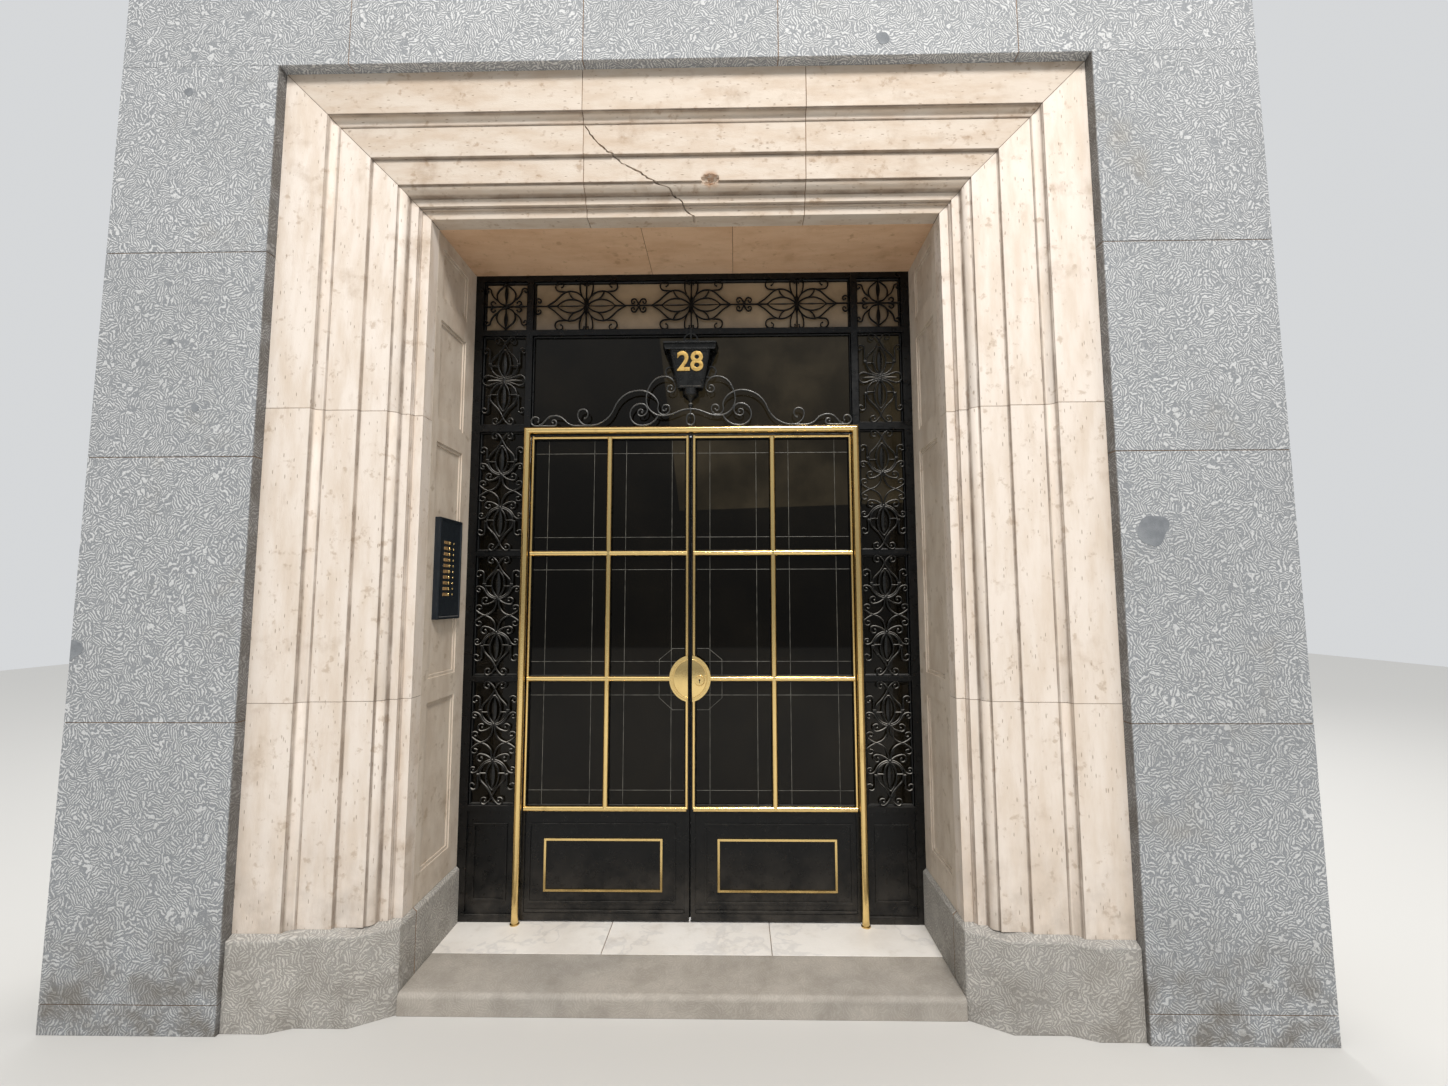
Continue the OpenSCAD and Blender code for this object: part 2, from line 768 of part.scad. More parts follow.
module crest_scrolls() {
    color("black") at_depth(crest_d, bar_t) translate([0, tube_top]) {
        mirrored() crest_half();
        dot([0, crest_rise], knot_r);
        // Drop under the middle: a long ring with a leaf in it
        mirrored() scroll([0, bar_w / 2 + hair], 0, [[19, 80], [75, 20], [19, 80]], 0);
        translate([-bar_w / 2, 60]) square([bar_w, crest_rise - 60]);
        translate([0, 33]) leaf(28, 4);
    }
}

// Fixed glass

glass_depths = [frame_d + glass_d, frame_d + glass_d + glass_t];

module transom_glass() {
    color("lightblue", 0.4) {
        block([-door_x, door_x], glass_depths, [door_head_z + bar_h, transom_z]);
        block([-door_x, door_x], glass_depths, [transom_z + transom_h, head_bar_z]);
    }
}

module side_glass() {
    color("lightblue", 0.4) {
        for (i = [0:2])
            blocks([light_x, post_x], glass_depths,
                [light_rails[i] + rail_h / 2, i == 2 ? light_head_z : light_rails[i + 1] - rail_h / 2]);
        blocks([light_x, post_x], glass_depths, [light_head_z + bar_h - 4, transom_z]);
        blocks([light_x, post_x], glass_depths, [transom_z + transom_h, head_bar_z]);
    }
}

// Brass tube round the doors, mitred at the top corners, each foot in a low collar

module tube_leg() {
    intersection() {
        translate([tube_x, tube_d - wall_t / 2, step_h])
            cylinder(r = tube_r, h = tube_z - step_h + 2 * tube_r, $fn = fine);
        at_depth(0, frame_d) polygon([[tube_x - 2 * tube_r, step_h], [tube_x + 2 * tube_r, step_h],
            [tube_x + 2 * tube_r, tube_z + 2 * tube_r], [tube_x - 2 * tube_r, tube_z - 2 * tube_r]]);
    }
}

module brass_posts() {
    color("goldenrod") left_right() union() {
        tube_leg();
        intersection() {
            translate([tube_x, tube_d - wall_t / 2, step_h])
                cylinder(r = tube_r + 5, h = floor_gap - 3, $fn = fine);
            block([tube_x - 2 * tube_r, tube_x + 2 * tube_r], [0, frame_d], [step_h, step_h + floor_gap]);
        }
    }
}

module brass_head() {
    color("goldenrod") {
        intersection() {
            translate([-tube_x - 2 * tube_r, tube_d - wall_t / 2, tube_z]) rotate([0, 90, 0])
                cylinder(r = tube_r, h = 2 * tube_x + 4 * tube_r, $fn = fine);
            at_depth(0, frame_d) polygon([[-tube_x - 2 * tube_r, tube_z + 2 * tube_r],
                [-tube_x + 2 * tube_r, tube_z - 2 * tube_r], [tube_x - 2 * tube_r, tube_z - 2 * tube_r],
                [tube_x + 2 * tube_r, tube_z + 2 * tube_r]]);
        }
    }
}

// Number lantern: a tapering half-hexagon under a cornice, on a leafed stem

function lantern_plan(half_back, half_front, front_d) = [[-half_back, frame_d], [-half_front, front_d],
    [half_front, front_d], [half_back, frame_d]];

module lantern_stem() {
    foot_z = crest_z + knot_r + hair;
    translate([0, tube_d - wall_t / 2, foot_z])
        rotate_extrude($fn = fine) polygon([[0, 0], [11, 0], [11, 14], [7, 20], [7, 26], [16, 36],
            [40, 56], [40, lantern_z - foot_z], [0, lantern_z - foot_z]]);
}

module number_lantern() {
    half_w = lantern_w / 2;
    color("black") union() {
        loft([[lantern_plan(54, 60, lantern_front + 18), lantern_z],
            [lantern_plan(half_w - 15, 95, lantern_front), lantern_top],
            [lantern_plan(half_w - 8, half_w - 16, lantern_front - 8), lantern_top + 3],
            [lantern_plan(half_w, half_w - 8, lantern_front - 12), lantern_top + cornice_h]]);
        intersection() {
            lantern_stem();
            block([-50, 50], [0, frame_d], [crest_z, lantern_z]);
        }
        at_depth(frame_d - bar_t, bar_t) mirrored()
            scroll([-94, lantern_z + 121], 160, [[24, 110], [30, 90], [120, 12]], 0);
    }
}

// Hanger: a ring on the cornice against the transom bar, and a rod up to the frieze

module lantern_hanger() {
    ring_r = 38;
    rod_w = 8;
    foot_z = lantern_top + cornice_h;
    color("black") at_depth(frame_d - rod_w, rod_w) union() {
        translate([0, foot_z + ring_r]) difference() {
            circle(r = ring_r, $fn = fine);
            circle(r = ring_r - bar_w, $fn = fine);
        }
        translate([-rod_w / 2, foot_z]) square([rod_w, transom_z + transom_h - foot_z]);
        translate([-ring_r + 3, foot_z + ring_r - rod_w / 2]) square([2 * ring_r - 6, rod_w]);
    }
}

// Bell plate let into the left reveal, with rows of round buttons

module bell_plate() {
    color("darkslategray") bell_body();
}

module bell_buttons() {
    pitch = bell_h * 0.057;
    color("goldenrod") for (row = [0:bell_rows - 1], col = [0, 1])
        translate([bell_t - half_open, bell_d - 8 + col * 38 - wall_t / 2,
            bell_z + bell_h / 2 + (row - (bell_rows - 1) / 2) * pitch])
            rotate([0, 90, 0]) cylinder(r = 7 - col * 2, h = 5, $fn = 24);
}

// Hinges: lower knuckles on the door posts, upper knuckles on the leaves

module knuckle(z, flap_x) {
    translate([hinge_x, hinge_d - wall_t / 2, z]) cylinder(r = knuckle_r, h = knuckle_l, $fn = fine);
    block([min(flap_x), max(flap_x)], [leaf_back, leaf_back + flap_t], [z, z + knuckle_l]);
}

module frame_hinges() {
    color("black") left_right() for (z = hinge_zs) knuckle(z - knuckle_l - hair, [door_x + 2, light_x]);
}

// Leaf frame: two stiles, rails and thin glazing bars

module leaf_frame_right() {
    depths = [leaf_front, leaf_back];
    bar_depths = [leaf_front, leaf_front + glass_d + 10];
    color("black") union() {
        block([hang_x - stile_w, hang_x], depths, [leaf_z, leaf_top]);
        block([meet_x, meet_x + meeting_w], depths, [leaf_z, leaf_top]);
        block([meet_x, hang_x], depths, [leaf_z, leaf_z + bottom_rail_h]);
        block([meet_x, hang_x], depths, [leaf_top - stile_w, leaf_top]);
        block([muntin_x - iron_bar / 2, muntin_x + iron_bar / 2], bar_depths, [low_bar_z, leaf_top]);
        for (z = light_rails)
            block([meet_x, hang_x], bar_depths, [z - iron_bar / 2, z + iron_bar / 2]);
    }
}

module leaf_frame_left() {
    mirror([1, 0, 0]) leaf_frame_right();
}

module leaf_hinges_right() {
    color("black") for (z = hinge_zs) knuckle(z, [hang_x - stile_w, hang_x]);
}

module leaf_hinges_left() {
    mirror([1, 0, 0]) leaf_hinges_right();
}

// Kick panel with a raised line round it

module kick_panel_right() {
    z0 = leaf_z + bottom_rail_h;
    z1 = low_bar_z - iron_bar / 2;
    plate_d = leaf_front + 8;
    color("black") union() {
        block([pane_x0, pane_x1], [plate_d, plate_d + kick_t], [z0, z1]);
        at_depth(plate_d - line_t, line_t)
            line_frame([pane_x0 + 45, pane_x1 - 18], [z0 + 42, z1 - 60], line_w);
    }
}

module kick_panel_left() {
    mirror([1, 0, 0]) kick_panel_right();
}

// Six panes in each leaf

pane_zs = [[light_rails[0], light_rails[1]], [light_rails[1], light_rails[2]],
    [light_rails[2], leaf_top - stile_w + iron_bar / 2]];
module leaf_glass_right() {
    color("lightblue", 0.4) for (z = pane_zs) {
        depths = [leaf_front + glass_d - 8, leaf_front + glass_d - 8 + glass_t];
        block([pane_x0, muntin_x - iron_bar / 2], depths, [z[0] + iron_bar / 2, z[1] - iron_bar / 2]);
        block([muntin_x + iron_bar / 2, pane_x1], depths, [z[0] + iron_bar / 2, z[1] - iron_bar / 2]);
    }
}

module leaf_glass_left() {
    mirror([1, 0, 0]) leaf_glass_right();
}

// Brass trim: half-round bars on the leaf's front face and a flat rectangle on the kick panel

module upright_bead(x, r, z) {
    intersection() {
        translate([x, leaf_front - wall_t / 2, z[0]]) cylinder(r = r, h = z[1] - z[0], $fn = fine);
        block([x - r, x + r], [leaf_front - r, leaf_front], z);
    }
}

module level_bead(z, r, x) {
    intersection() {
        translate([x[0], leaf_front - wall_t / 2, z]) rotate([0, 90, 0])
            cylinder(r = r, h = x[1] - x[0], $fn = fine);
        block(x, [leaf_front - r, leaf_front], [z - r, z + r]);
    }
}

bead_x0 = disc_cut - 1 + bead_w / 2;
bead_x1 = hang_x - 4 - bead_w / 2;
module brass_trim_right() {
    r = brass_w / 2;
    plate_d = leaf_front + 8;
    color("goldenrod") {
        union() {
            upright_bead(bead_x0, bead_w / 2, [low_bar_z, leaf_top - 2]);
            upright_bead(bead_x1, bead_w / 2, [low_bar_z, leaf_top - 2]);
            level_bead(leaf_top - 2 - bead_w / 2, bead_w / 2, [bead_x0, bead_x1]);
            upright_bead(muntin_x, r, [low_bar_z, leaf_top - 2 - bead_w / 2]);
            for (z = light_rails) level_bead(z, r, [bead_x0, bead_x1]);
        }
        at_depth(plate_d - line_t, line_t)
            line_frame([pane_x0 + 106, pane_x1 - 92], [leaf_z + 127, low_bar_z - 138], line_w + 1);
    }
}

module brass_trim_left() {
    mirror([1, 0, 0]) brass_trim_right();
}

// Round push plate, cut by the dark strip where the leaves meet; the right half holds the lock

disc_z = light_rails[1] + 3;
disc_front = leaf_front - brass_w / 2 - disc_t;
module half_disc() {
    union() {
        at_depth(disc_front, disc_t) intersection() {
            translate([-disc_cut - 2, disc_z]) circle(r = disc_r, $fn = 96);
            translate([disc_cut, disc_z - disc_r]) square([disc_r, 2 * disc_r]);
        }
        at_depth(disc_front - 4, 4) intersection() {
            translate([-disc_cut - 2, disc_z]) difference() {
                circle(r = disc_r, $fn = 96);
                circle(r = disc_r - 9, $fn = 96);
            }
            translate([disc_cut, disc_z - disc_r]) square([disc_r, 2 * disc_r]);
        }
    }
}

module push_plate_left() {
    color("gold") mirror([1, 0, 0]) half_disc();
}

module push_plate_right() {
    color("gold") union() {
        half_disc();
        translate([46, disc_front - wall_t / 2, disc_z - 10]) rotate([90, 0, 0])
            cylinder(r = 19, h = 9, $fn = fine);
    }
}

granite_jamb_left();
granite_jamb_right();
granite_head();
wall_backing();
wall_over_door();
surround_jamb_left();
surround_jamb_right();
surround_head();
plinth_left();
plinth_right();
reveal_lining_left();
reveal_lining_right();
soffit_lining();
front_step();
marble_threshold();
frame_uprights();
frame_bars();
side_rails();
side_kick_panels();
side_scrolls_left();
side_scrolls_right();
frieze_corners();
frieze_scrolls();
crest_scrolls();
transom_glass();
side_glass();
brass_posts();
brass_head();
number_lantern();
lantern_hanger();
bell_plate();
bell_buttons();
frame_hinges();
leaf_frame_left();
leaf_frame_right();
leaf_hinges_left();
leaf_hinges_right();
kick_panel_left();
kick_panel_right();
leaf_glass_left();
leaf_glass_right();
brass_trim_left();
brass_trim_right();
push_plate_left();
push_plate_right();
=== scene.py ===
# Looks of an entrance doorway: a pair of glazed iron and brass doors with wrought-iron side
# lights and frieze, in a stepped travertine surround inside a bay of tooled granite.
import math
import random

import bmesh
import bpy
from mathutils import Euler, Matrix, Vector


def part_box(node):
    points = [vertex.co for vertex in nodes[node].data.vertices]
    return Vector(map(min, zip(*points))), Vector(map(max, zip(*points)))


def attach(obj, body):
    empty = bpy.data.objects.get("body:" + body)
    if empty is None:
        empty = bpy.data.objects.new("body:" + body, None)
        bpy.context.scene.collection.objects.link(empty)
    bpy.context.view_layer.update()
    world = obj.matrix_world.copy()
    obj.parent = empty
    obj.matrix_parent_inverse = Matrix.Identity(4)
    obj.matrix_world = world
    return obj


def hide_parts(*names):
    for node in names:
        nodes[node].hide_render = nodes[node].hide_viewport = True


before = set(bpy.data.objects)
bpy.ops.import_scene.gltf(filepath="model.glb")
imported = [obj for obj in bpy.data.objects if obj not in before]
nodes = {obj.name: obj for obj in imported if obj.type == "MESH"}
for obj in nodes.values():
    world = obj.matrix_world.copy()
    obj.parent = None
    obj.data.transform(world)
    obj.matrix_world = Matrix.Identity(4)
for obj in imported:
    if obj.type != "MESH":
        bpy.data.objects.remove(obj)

scene = bpy.context.scene
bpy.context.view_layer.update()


# ---------------------------------------------------------------- studio
# A plain pale floor and pale air, one soft lamp high in front and a little to the right, as the
# daylight falls on the doorway, and one behind for its plain back.

def paint(code):
    """Linear colour of a six-figure paint code."""
    parts = [int(code[i:i + 2], 16) / 255 for i in (0, 2, 4)]
    return tuple(c / 12.92 if c < 0.04045 else ((c + 0.055) / 1.055) ** 2.4 for c in parts) + (1,)


def soft_lamp(name, place, aim, width, height, power, colour):
    """A broad lamp at a place, turned to what it lights."""
    lamp = bpy.data.lights.new(name, "AREA")
    lamp.shape = "RECTANGLE"
    lamp.size, lamp.size_y = width, height
    lamp.energy = power
    lamp.color = paint(colour)[:3]
    stand = bpy.data.objects.new(name, lamp)
    stand.location = place
    stand.rotation_euler = (Vector(aim) - Vector(place)).to_track_quat("-Z", "Y").to_euler()
    scene.collection.objects.link(stand)


soft_lamp("main_lamp", (1.3, -5.6, 8.8), (0, 0, 1.6), 1.8, 1.8, 640, "fffbf6")
soft_lamp("back_lamp", (1.5, 7.0, 5.0), (0, 0, 2.0), 5, 4, 300, "ffffff")


def put(tree, kind, inputs=None, **settings):
    """Adds a node to a tree and wires or sets its inputs."""
    node = tree.nodes.new(kind)
    for key, value in settings.items():
        setattr(node, key, value)
    for key, value in (inputs or {}).items():
        if isinstance(value, bpy.types.NodeSocket):
            tree.links.new(value, node.inputs[key])
        else:
            node.inputs[key].default_value = value
    return node


def calc(tree, operation, *values):
    return put(tree, "ShaderNodeMath", dict(enumerate(values)), operation=operation).outputs[0]


def ramp(tree, value, low, high, start=0.0, end=1.0):
    return put(tree, "ShaderNodeMapRange", {0: value, 1: low, 2: high, 3: start, 4: end},
               interpolation_type="SMOOTHSTEP").outputs[0]


# The air is brighter overhead than near the ground, and an even pale tone behind the piece
air = bpy.data.worlds.new("pale_air")
air.use_nodes = True
air_light = next(n for n in air.node_tree.nodes if n.type == "BACKGROUND")
air_light.inputs["Color"].default_value = paint("eceef0")
overhead = put(air.node_tree, "ShaderNodeSeparateXYZ",
               {0: put(air.node_tree, "ShaderNodeTexCoord").outputs["Generated"]}).outputs["Z"]
overhead = ramp(air.node_tree, overhead, -0.1, 0.9, 0.30, 1.3)
seen = put(air.node_tree, "ShaderNodeLightPath").outputs["Is Camera Ray"]
behind = calc(air.node_tree, "MULTIPLY", seen, calc(air.node_tree, "SUBTRACT", 0.8, overhead))
air.node_tree.links.new(calc(air.node_tree, "ADD", overhead, behind), air_light.inputs["Strength"])
scene.world = air
scene.view_settings.view_transform = "Standard"

floor_half, floor_z = 16, -0.001
floor_corners = [(x * floor_half, y * floor_half, floor_z) for x, y in ((-1, -1), (1, -1), (1, 1), (-1, 1))]
floor_mesh = bpy.data.meshes.new("studio_floor")
floor_mesh.from_pydata(floor_corners, [], [(0, 1, 2, 3)])
studio_floor = bpy.data.objects.new("studio_floor", floor_mesh)
scene.collection.objects.link(studio_floor)
floor_paint = bpy.data.materials.new("floor_paint")
floor_paint.use_nodes = True
floor_shader = next(n for n in floor_paint.node_tree.nodes if n.type == "BSDF_PRINCIPLED")
floor_shader.inputs["Base Color"].default_value = paint("c9c7c3")
floor_shader.inputs["Roughness"].default_value = 0.8
floor_mesh.materials.append(floor_paint)

# Standing in front of the doors, just right of the middle, at eye height
eye = Vector((0.2142, -2.7339, 1.5922))
yaw, pitch, roll = -0.0170, 0.0876, -0.0025
ahead = Vector((math.sin(yaw) * math.cos(pitch), math.cos(yaw) * math.cos(pitch), math.sin(pitch)))
level = Vector((math.cos(yaw), -math.sin(yaw), 0))
upright = level.cross(ahead)
across = math.cos(roll) * level + math.sin(roll) * upright
above = math.cos(roll) * upright - math.sin(roll) * level
view = bpy.data.cameras.new("camera")
view.sensor_fit = "HORIZONTAL"
view.sensor_width = 36
view.lens = 15.146
camera = bpy.data.objects.new("camera", view)
camera.matrix_world = Matrix.Translation(eye) @ Matrix((across, above, -ahead)).transposed().to_4x4()
scene.collection.objects.link(camera)
scene.camera = camera


# ---------------------------------------------------------------- granite bay
# Grey granite facing slabs on both sides of the doorway and in a course over it, their faces
# tooled with short curved chisel strokes, bedded in thin rust-stained mortar joints.

def mixed(tree, share, first, second):
    return put(tree, "ShaderNodeMix", {0: share, 6: first, 7: second}, data_type="RGBA").outputs[2]


def stained(tree, colour, mask, strength, code):
    """A colour with a paint laid over it where a mask shows."""
    return mixed(tree, calc(tree, "MULTIPLY", mask, strength), colour, paint(code))


def between(tree, mask, low, high):
    """A mask from 0 to 1 laid out between two other values."""
    return ramp(tree, mask, 0.0, 1.0, low, high)


def vector(tree, operation, *values, gives=0):
    return put(tree, "ShaderNodeVectorMath", dict(enumerate(values)), operation=operation).outputs[gives]


def use(tree, group, **inputs):
    """The first output of a node group set into a tree."""
    return put(tree, "ShaderNodeGroup", inputs, node_tree=group).outputs[0]


def effect(name, takes, gives, kind="ShaderNodeTree"):
    """A node group with named inputs and outputs: the group, its inputs' and its outputs' sockets."""
    tree = bpy.data.node_groups.new(name, kind)
    for title, sort, value in takes:
        socket = tree.interface.new_socket(title, in_out="INPUT", socket_type="NodeSocket" + sort)
        if value is not None:
            socket.default_value = value
    for title, sort in gives:
        tree.interface.new_socket(title, in_out="OUTPUT", socket_type="NodeSocket" + sort)
    return tree, tree.nodes.new("NodeGroupInput").outputs, tree.nodes.new("NodeGroupOutput").inputs


# Soft-edged patches, for stains, wear, dust and tarnish
patches, takes, gives = effect("patches", [("Vector", "Vector", None), ("Scale", "Float", 5.0),
                                           ("From", "Float", 0.4), ("To", "Float", 0.7)],
                               [("Mask", "Float")])
cloud = put(patches, "ShaderNodeTexNoise", {"Vector": takes["Vector"], "Scale": takes["Scale"],
                                            "Detail": 6.0, "Roughness": 0.6}).outputs["Fac"]
patches.links.new(ramp(patches, cloud, takes["From"], takes["To"]), gives["Mask"])

# Chisel strokes: short curved lines side by side, turned another way in each small patch
chisel, takes, gives = effect("chisel_strokes", [("Vector", "Vector", None), ("Patches", "Float", 30.0),
                                                 ("Lines", "Float", 120.0)], [("Strokes", "Float")])
sway = put(chisel, "ShaderNodeTexNoise",
           {"Vector": takes["Vector"], "Scale": 38.0, "Detail": 2.0}).outputs["Color"]
swayed = vector(chisel, "MULTIPLY_ADD", sway, (0.026, 0.026, 0.026), takes["Vector"])
cell = put(chisel, "ShaderNodeTexVoronoi", {"Vector": swayed, "Scale": takes["Patches"]})
rim = put(chisel, "ShaderNodeTexVoronoi", {"Vector": swayed, "Scale": takes["Patches"]},
          feature="DISTANCE_TO_EDGE").outputs["Distance"]
aim = vector(chisel, "NORMALIZE", vector(chisel, "SUBTRACT", cell.outputs["Color"], (0.5, 0.5, 0.5)))
along = vector(chisel, "DOT_PRODUCT", aim, swayed, gives="Value")
wave = calc(chisel, "MULTIPLY", calc(chisel, "MULTIPLY", along, takes["Lines"]), 2 * math.pi)
wave = calc(chisel, "SINE", wave)
strokes = calc(chisel, "MULTIPLY", ramp(chisel, wave, -0.5, 0.9), ramp(chisel, rim, 0.0, 0.07))
chisel.links.new(strokes, gives["Strokes"])

# Dirt that has splashed up from the ground, fading out with height
splash, takes, gives = effect("ground_dirt", [("Vector", "Vector", None), ("Reach", "Float", 0.5)],
                              [("Mask", "Float")])
height_up = put(splash, "ShaderNodeSeparateXYZ", {0: takes["Vector"]}).outputs["Z"]
fading = ramp(splash, height_up, 0.0, takes["Reach"], 1.0, 0.0)
broken = use(splash, patches, Vector=takes["Vector"], Scale=9.0, From=0.3, To=0.75)
splash.links.new(calc(splash, "MULTIPLY", fading, broken), gives["Mask"])


def patchy(tree, where, scale, low, high):
    return use(tree, patches, Vector=where, Scale=scale, From=low, To=high)


def dirty(tree, where, reach):
    return use(tree, splash, Vector=where, Reach=reach)


def finish(name):
    """A new material: itself, its tree, its shader and the place on the piece."""
    material = bpy.data.materials.new(name)
    material.use_nodes = True
    tree = material.node_tree
    shader = next(n for n in tree.nodes if n.type == "BSDF_PRINCIPLED")
    return material, tree, shader, put(tree, "ShaderNodeTexCoord").outputs["Object"]


def dress(tree, shader, height=None, depth=0.001, **values):
    """Wires or sets the shader's sockets, and its bump."""
    for key, value in values.items():
        socket = shader.inputs[key.replace("_", " ")]
        if isinstance(value, bpy.types.NodeSocket):
            tree.links.new(value, socket)
        else:
            socket.default_value = value
    if height:
        bump = put(tree, "ShaderNodeBump", {"Strength": 0.9, "Distance": depth, "Height": height})
        tree.links.new(bump.outputs[0], shader.inputs["Normal"])


def by_stone(tree, where):
    """Each stone's own tone, and its place shifted so that no pattern runs on over a joint."""
    tone = put(tree, "ShaderNodeAttribute", attribute_name="tone").outputs["Fac"]
    return tone, vector(tree, "MULTIPLY_ADD", tone, (7.0, 5.0, 3.0), where)


def granite(name, light, dark, tooling, grime, shaded_returns=None):
    """Grey granite. Its last argument is how far from the middle its inner returns reach; those returns are
    painted darker, as painted shade.
    """
    material, tree, shader, where = finish(name)
    tone, shifted = by_stone(tree, where)
    tooled = calc(tree, "MULTIPLY", use(tree, chisel, Vector=shifted, Patches=26.0, Lines=112.0), tooling)
    grains = patchy(tree, shifted, 520.0, 0.36, 0.66)
    lit = calc(tree, "ADD", tooled, calc(tree, "MULTIPLY", grains, 0.34))
    colour = mixed(tree, lit, paint(dark), paint(light))
    colour = stained(tree, colour, tone, 0.16, "6f7478")
    colour = stained(tree, colour, patchy(tree, shifted, 1.6, 0.4, 0.75), 0.25, "7d7f80")
    colour = stained(tree, colour, patchy(tree, shifted, 3.2, 0.6, 0.82), 0.3, "9a8f7c")
    colour = stained(tree, colour, dirty(tree, where, 0.55), grime, "6b6459")
    if shaded_returns:
        # Painted shade: the inner returns are darkened towards a brown grey
        off = calc(tree, "ABSOLUTE", put(tree, "ShaderNodeSeparateXYZ", {0: where}).outputs["X"])
        return_shade = ramp(tree, off, shaded_returns + 0.001, shaded_returns + 0.007, 0.78, 0.0)
        cloudy = between(tree, patchy(tree, where, 9.0, 0.3, 0.7), 0.75, 1.0)
        colour = stained(tree, colour, return_shade, cloudy, "4e473f")
    relief = calc(tree, "ADD", tooled, calc(tree, "MULTIPLY", grains, 0.25))
    dress(tree, shader, relief, 0.0016, Base_Color=colour, Roughness=between(tree, grains, 0.72, 0.9))
    return material


def mottled(name, light, dark, spots, grain=0, depth=0.001, **values):
    """A finish of two colours in soft spots, with a fine grain."""
    material, tree, shader, where = finish(name)
    colour = mixed(tree, patchy(tree, where, *spots), paint(light), paint(dark))
    relief = patchy(tree, where, grain, 0.3, 0.7) if grain else None
    dress(tree, shader, relief, depth, Base_Color=colour, **values)
    return material


def mortar(name, light, dark):
    return mottled(name, light, dark, (14.0, 0.35, 0.7), 300.0, 0.0006, Roughness=0.9)


def flat_foot(shape):
    """Closes a solid that stands on the ground with one flat face underneath."""
    foot = [f for f in shape.faces if max(v.co.z for v in f.verts) < 1e-4]
    if foot:
        bmesh.ops.delete(shape, geom=foot, context="FACES")
        bmesh.ops.holes_fill(shape, edges=[e for e in shape.edges if e.is_boundary], sides=0)


def solid_of(node):
    """The CAD node's shape as one closed solid with whole flat faces."""
    shape = bmesh.new()
    shape.from_mesh(nodes[node].data)
    bmesh.ops.remove_doubles(shape, verts=shape.verts, dist=1e-5)
    bmesh.ops.dissolve_limit(shape, angle_limit=math.radians(0.4), verts=shape.verts, edges=shape.edges)
    flat_foot(shape)
    return shape


def keep_side(shape, point, normal):
    """The part of a solid on the normal's side of a plane, closed where it is cut."""
    part = shape.copy()
    bmesh.ops.bisect_plane(part, geom=part.verts[:] + part.edges[:] + part.faces[:], dist=1e-6,
                           plane_co=point, plane_no=normal, clear_inner=True)
    bmesh.ops.holes_fill(part, edges=[e for e in part.edges if e.is_boundary], sides=0)
    return part


def sink(shape, normal, depth):
    """Draws a mortar bed in from the faces of the stones."""
    bmesh.ops.recalc_face_normals(shape, faces=shape.faces)
    if shape.calc_volume(signed=True) < 0:
        bmesh.ops.reverse_faces(shape, faces=shape.faces)
    shape.normal_update()
    shifts = {}
    for v in shape.verts:
        faces = [f.normal for f in v.link_faces if abs(f.normal.dot(normal)) < 0.5]
        inward = sum(faces, Vector())
        if inward.length > 1e-6:
            inward.normalize()
            shifts[v] = inward * -depth / max(0.5, min(inward.dot(f) for f in faces))
    for v, shift in shifts.items():
        v.co += shift


def rounded(shape, edge, over=0.0):
    """Takes the sharpness off the arrises of a solid that are longer than a length, but for those
    that stand on the ground."""
    bmesh.ops.recalc_face_normals(shape, faces=shape.faces)
    shape.normal_update()
    sharp = [e for e in shape.edges if e.is_manifold and e.is_convex and e.calc_length() > over
             and e.calc_face_angle() > math.radians(30) and max(v.co.z for v in e.verts) > 1e-4]
    bmesh.ops.bevel(shape, geom=sharp, offset=edge, offset_type="OFFSET", segments=2, profile=0.5,
                    affect="EDGES", clamp_overlap=True)
    flat_foot(shape)


def piece(name, shape, materials, body, slot, *stands_for, smooth=0):
    """Makes a finished piece of a shape and sets it on its body."""
    mesh = bpy.data.meshes.new(name)
    bmesh.ops.recalc_face_normals(shape, faces=shape.faces)
    shape.to_mesh(mesh)
    for material in materials:
        mesh.materials.append(material)
    if smooth:
        mesh.polygons.foreach_set("use_smooth", [True] * len(mesh.polygons))
        mesh.set_sharp_from_angle(angle=math.radians(smooth))
    made = bpy.data.objects.new(name, mesh)
    scene.collection.objects.link(made)
    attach(made, body)
    if stands_for:
        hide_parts(*stands_for)
    return made


def chipped(stone, wound):
    """A stone with a shape cut out of it."""
    holders = []
    for shape in (stone, wound):
        mesh = bpy.data.meshes.new("stone")
        bmesh.ops.recalc_face_normals(shape, faces=shape.faces)
        shape.to_mesh(mesh)
        holders.append(bpy.data.objects.new("stone", mesh))
        scene.collection.objects.link(holders[-1])
    cut = holders[0].modifiers.new("cut", "BOOLEAN")
    cut.operation, cut.solver, cut.object = "DIFFERENCE", "EXACT", holders[1]
    graph = bpy.context.evaluated_depsgraph_get()
    left = bmesh.new()
    left.from_mesh(bpy.data.meshes.new_from_object(holders[0].evaluated_get(graph)))
    for holder in holders:
        bpy.data.objects.remove(holder)
    return left


def meets(stone, wound):
    """Whether the boxes round two shapes meet."""
    for k in range(3):
        a, b = [v.co[k] for v in stone.verts], [v.co[k] for v in wound.verts]
        if max(a) < min(b) or max(b) < min(a):
            return False
    return True


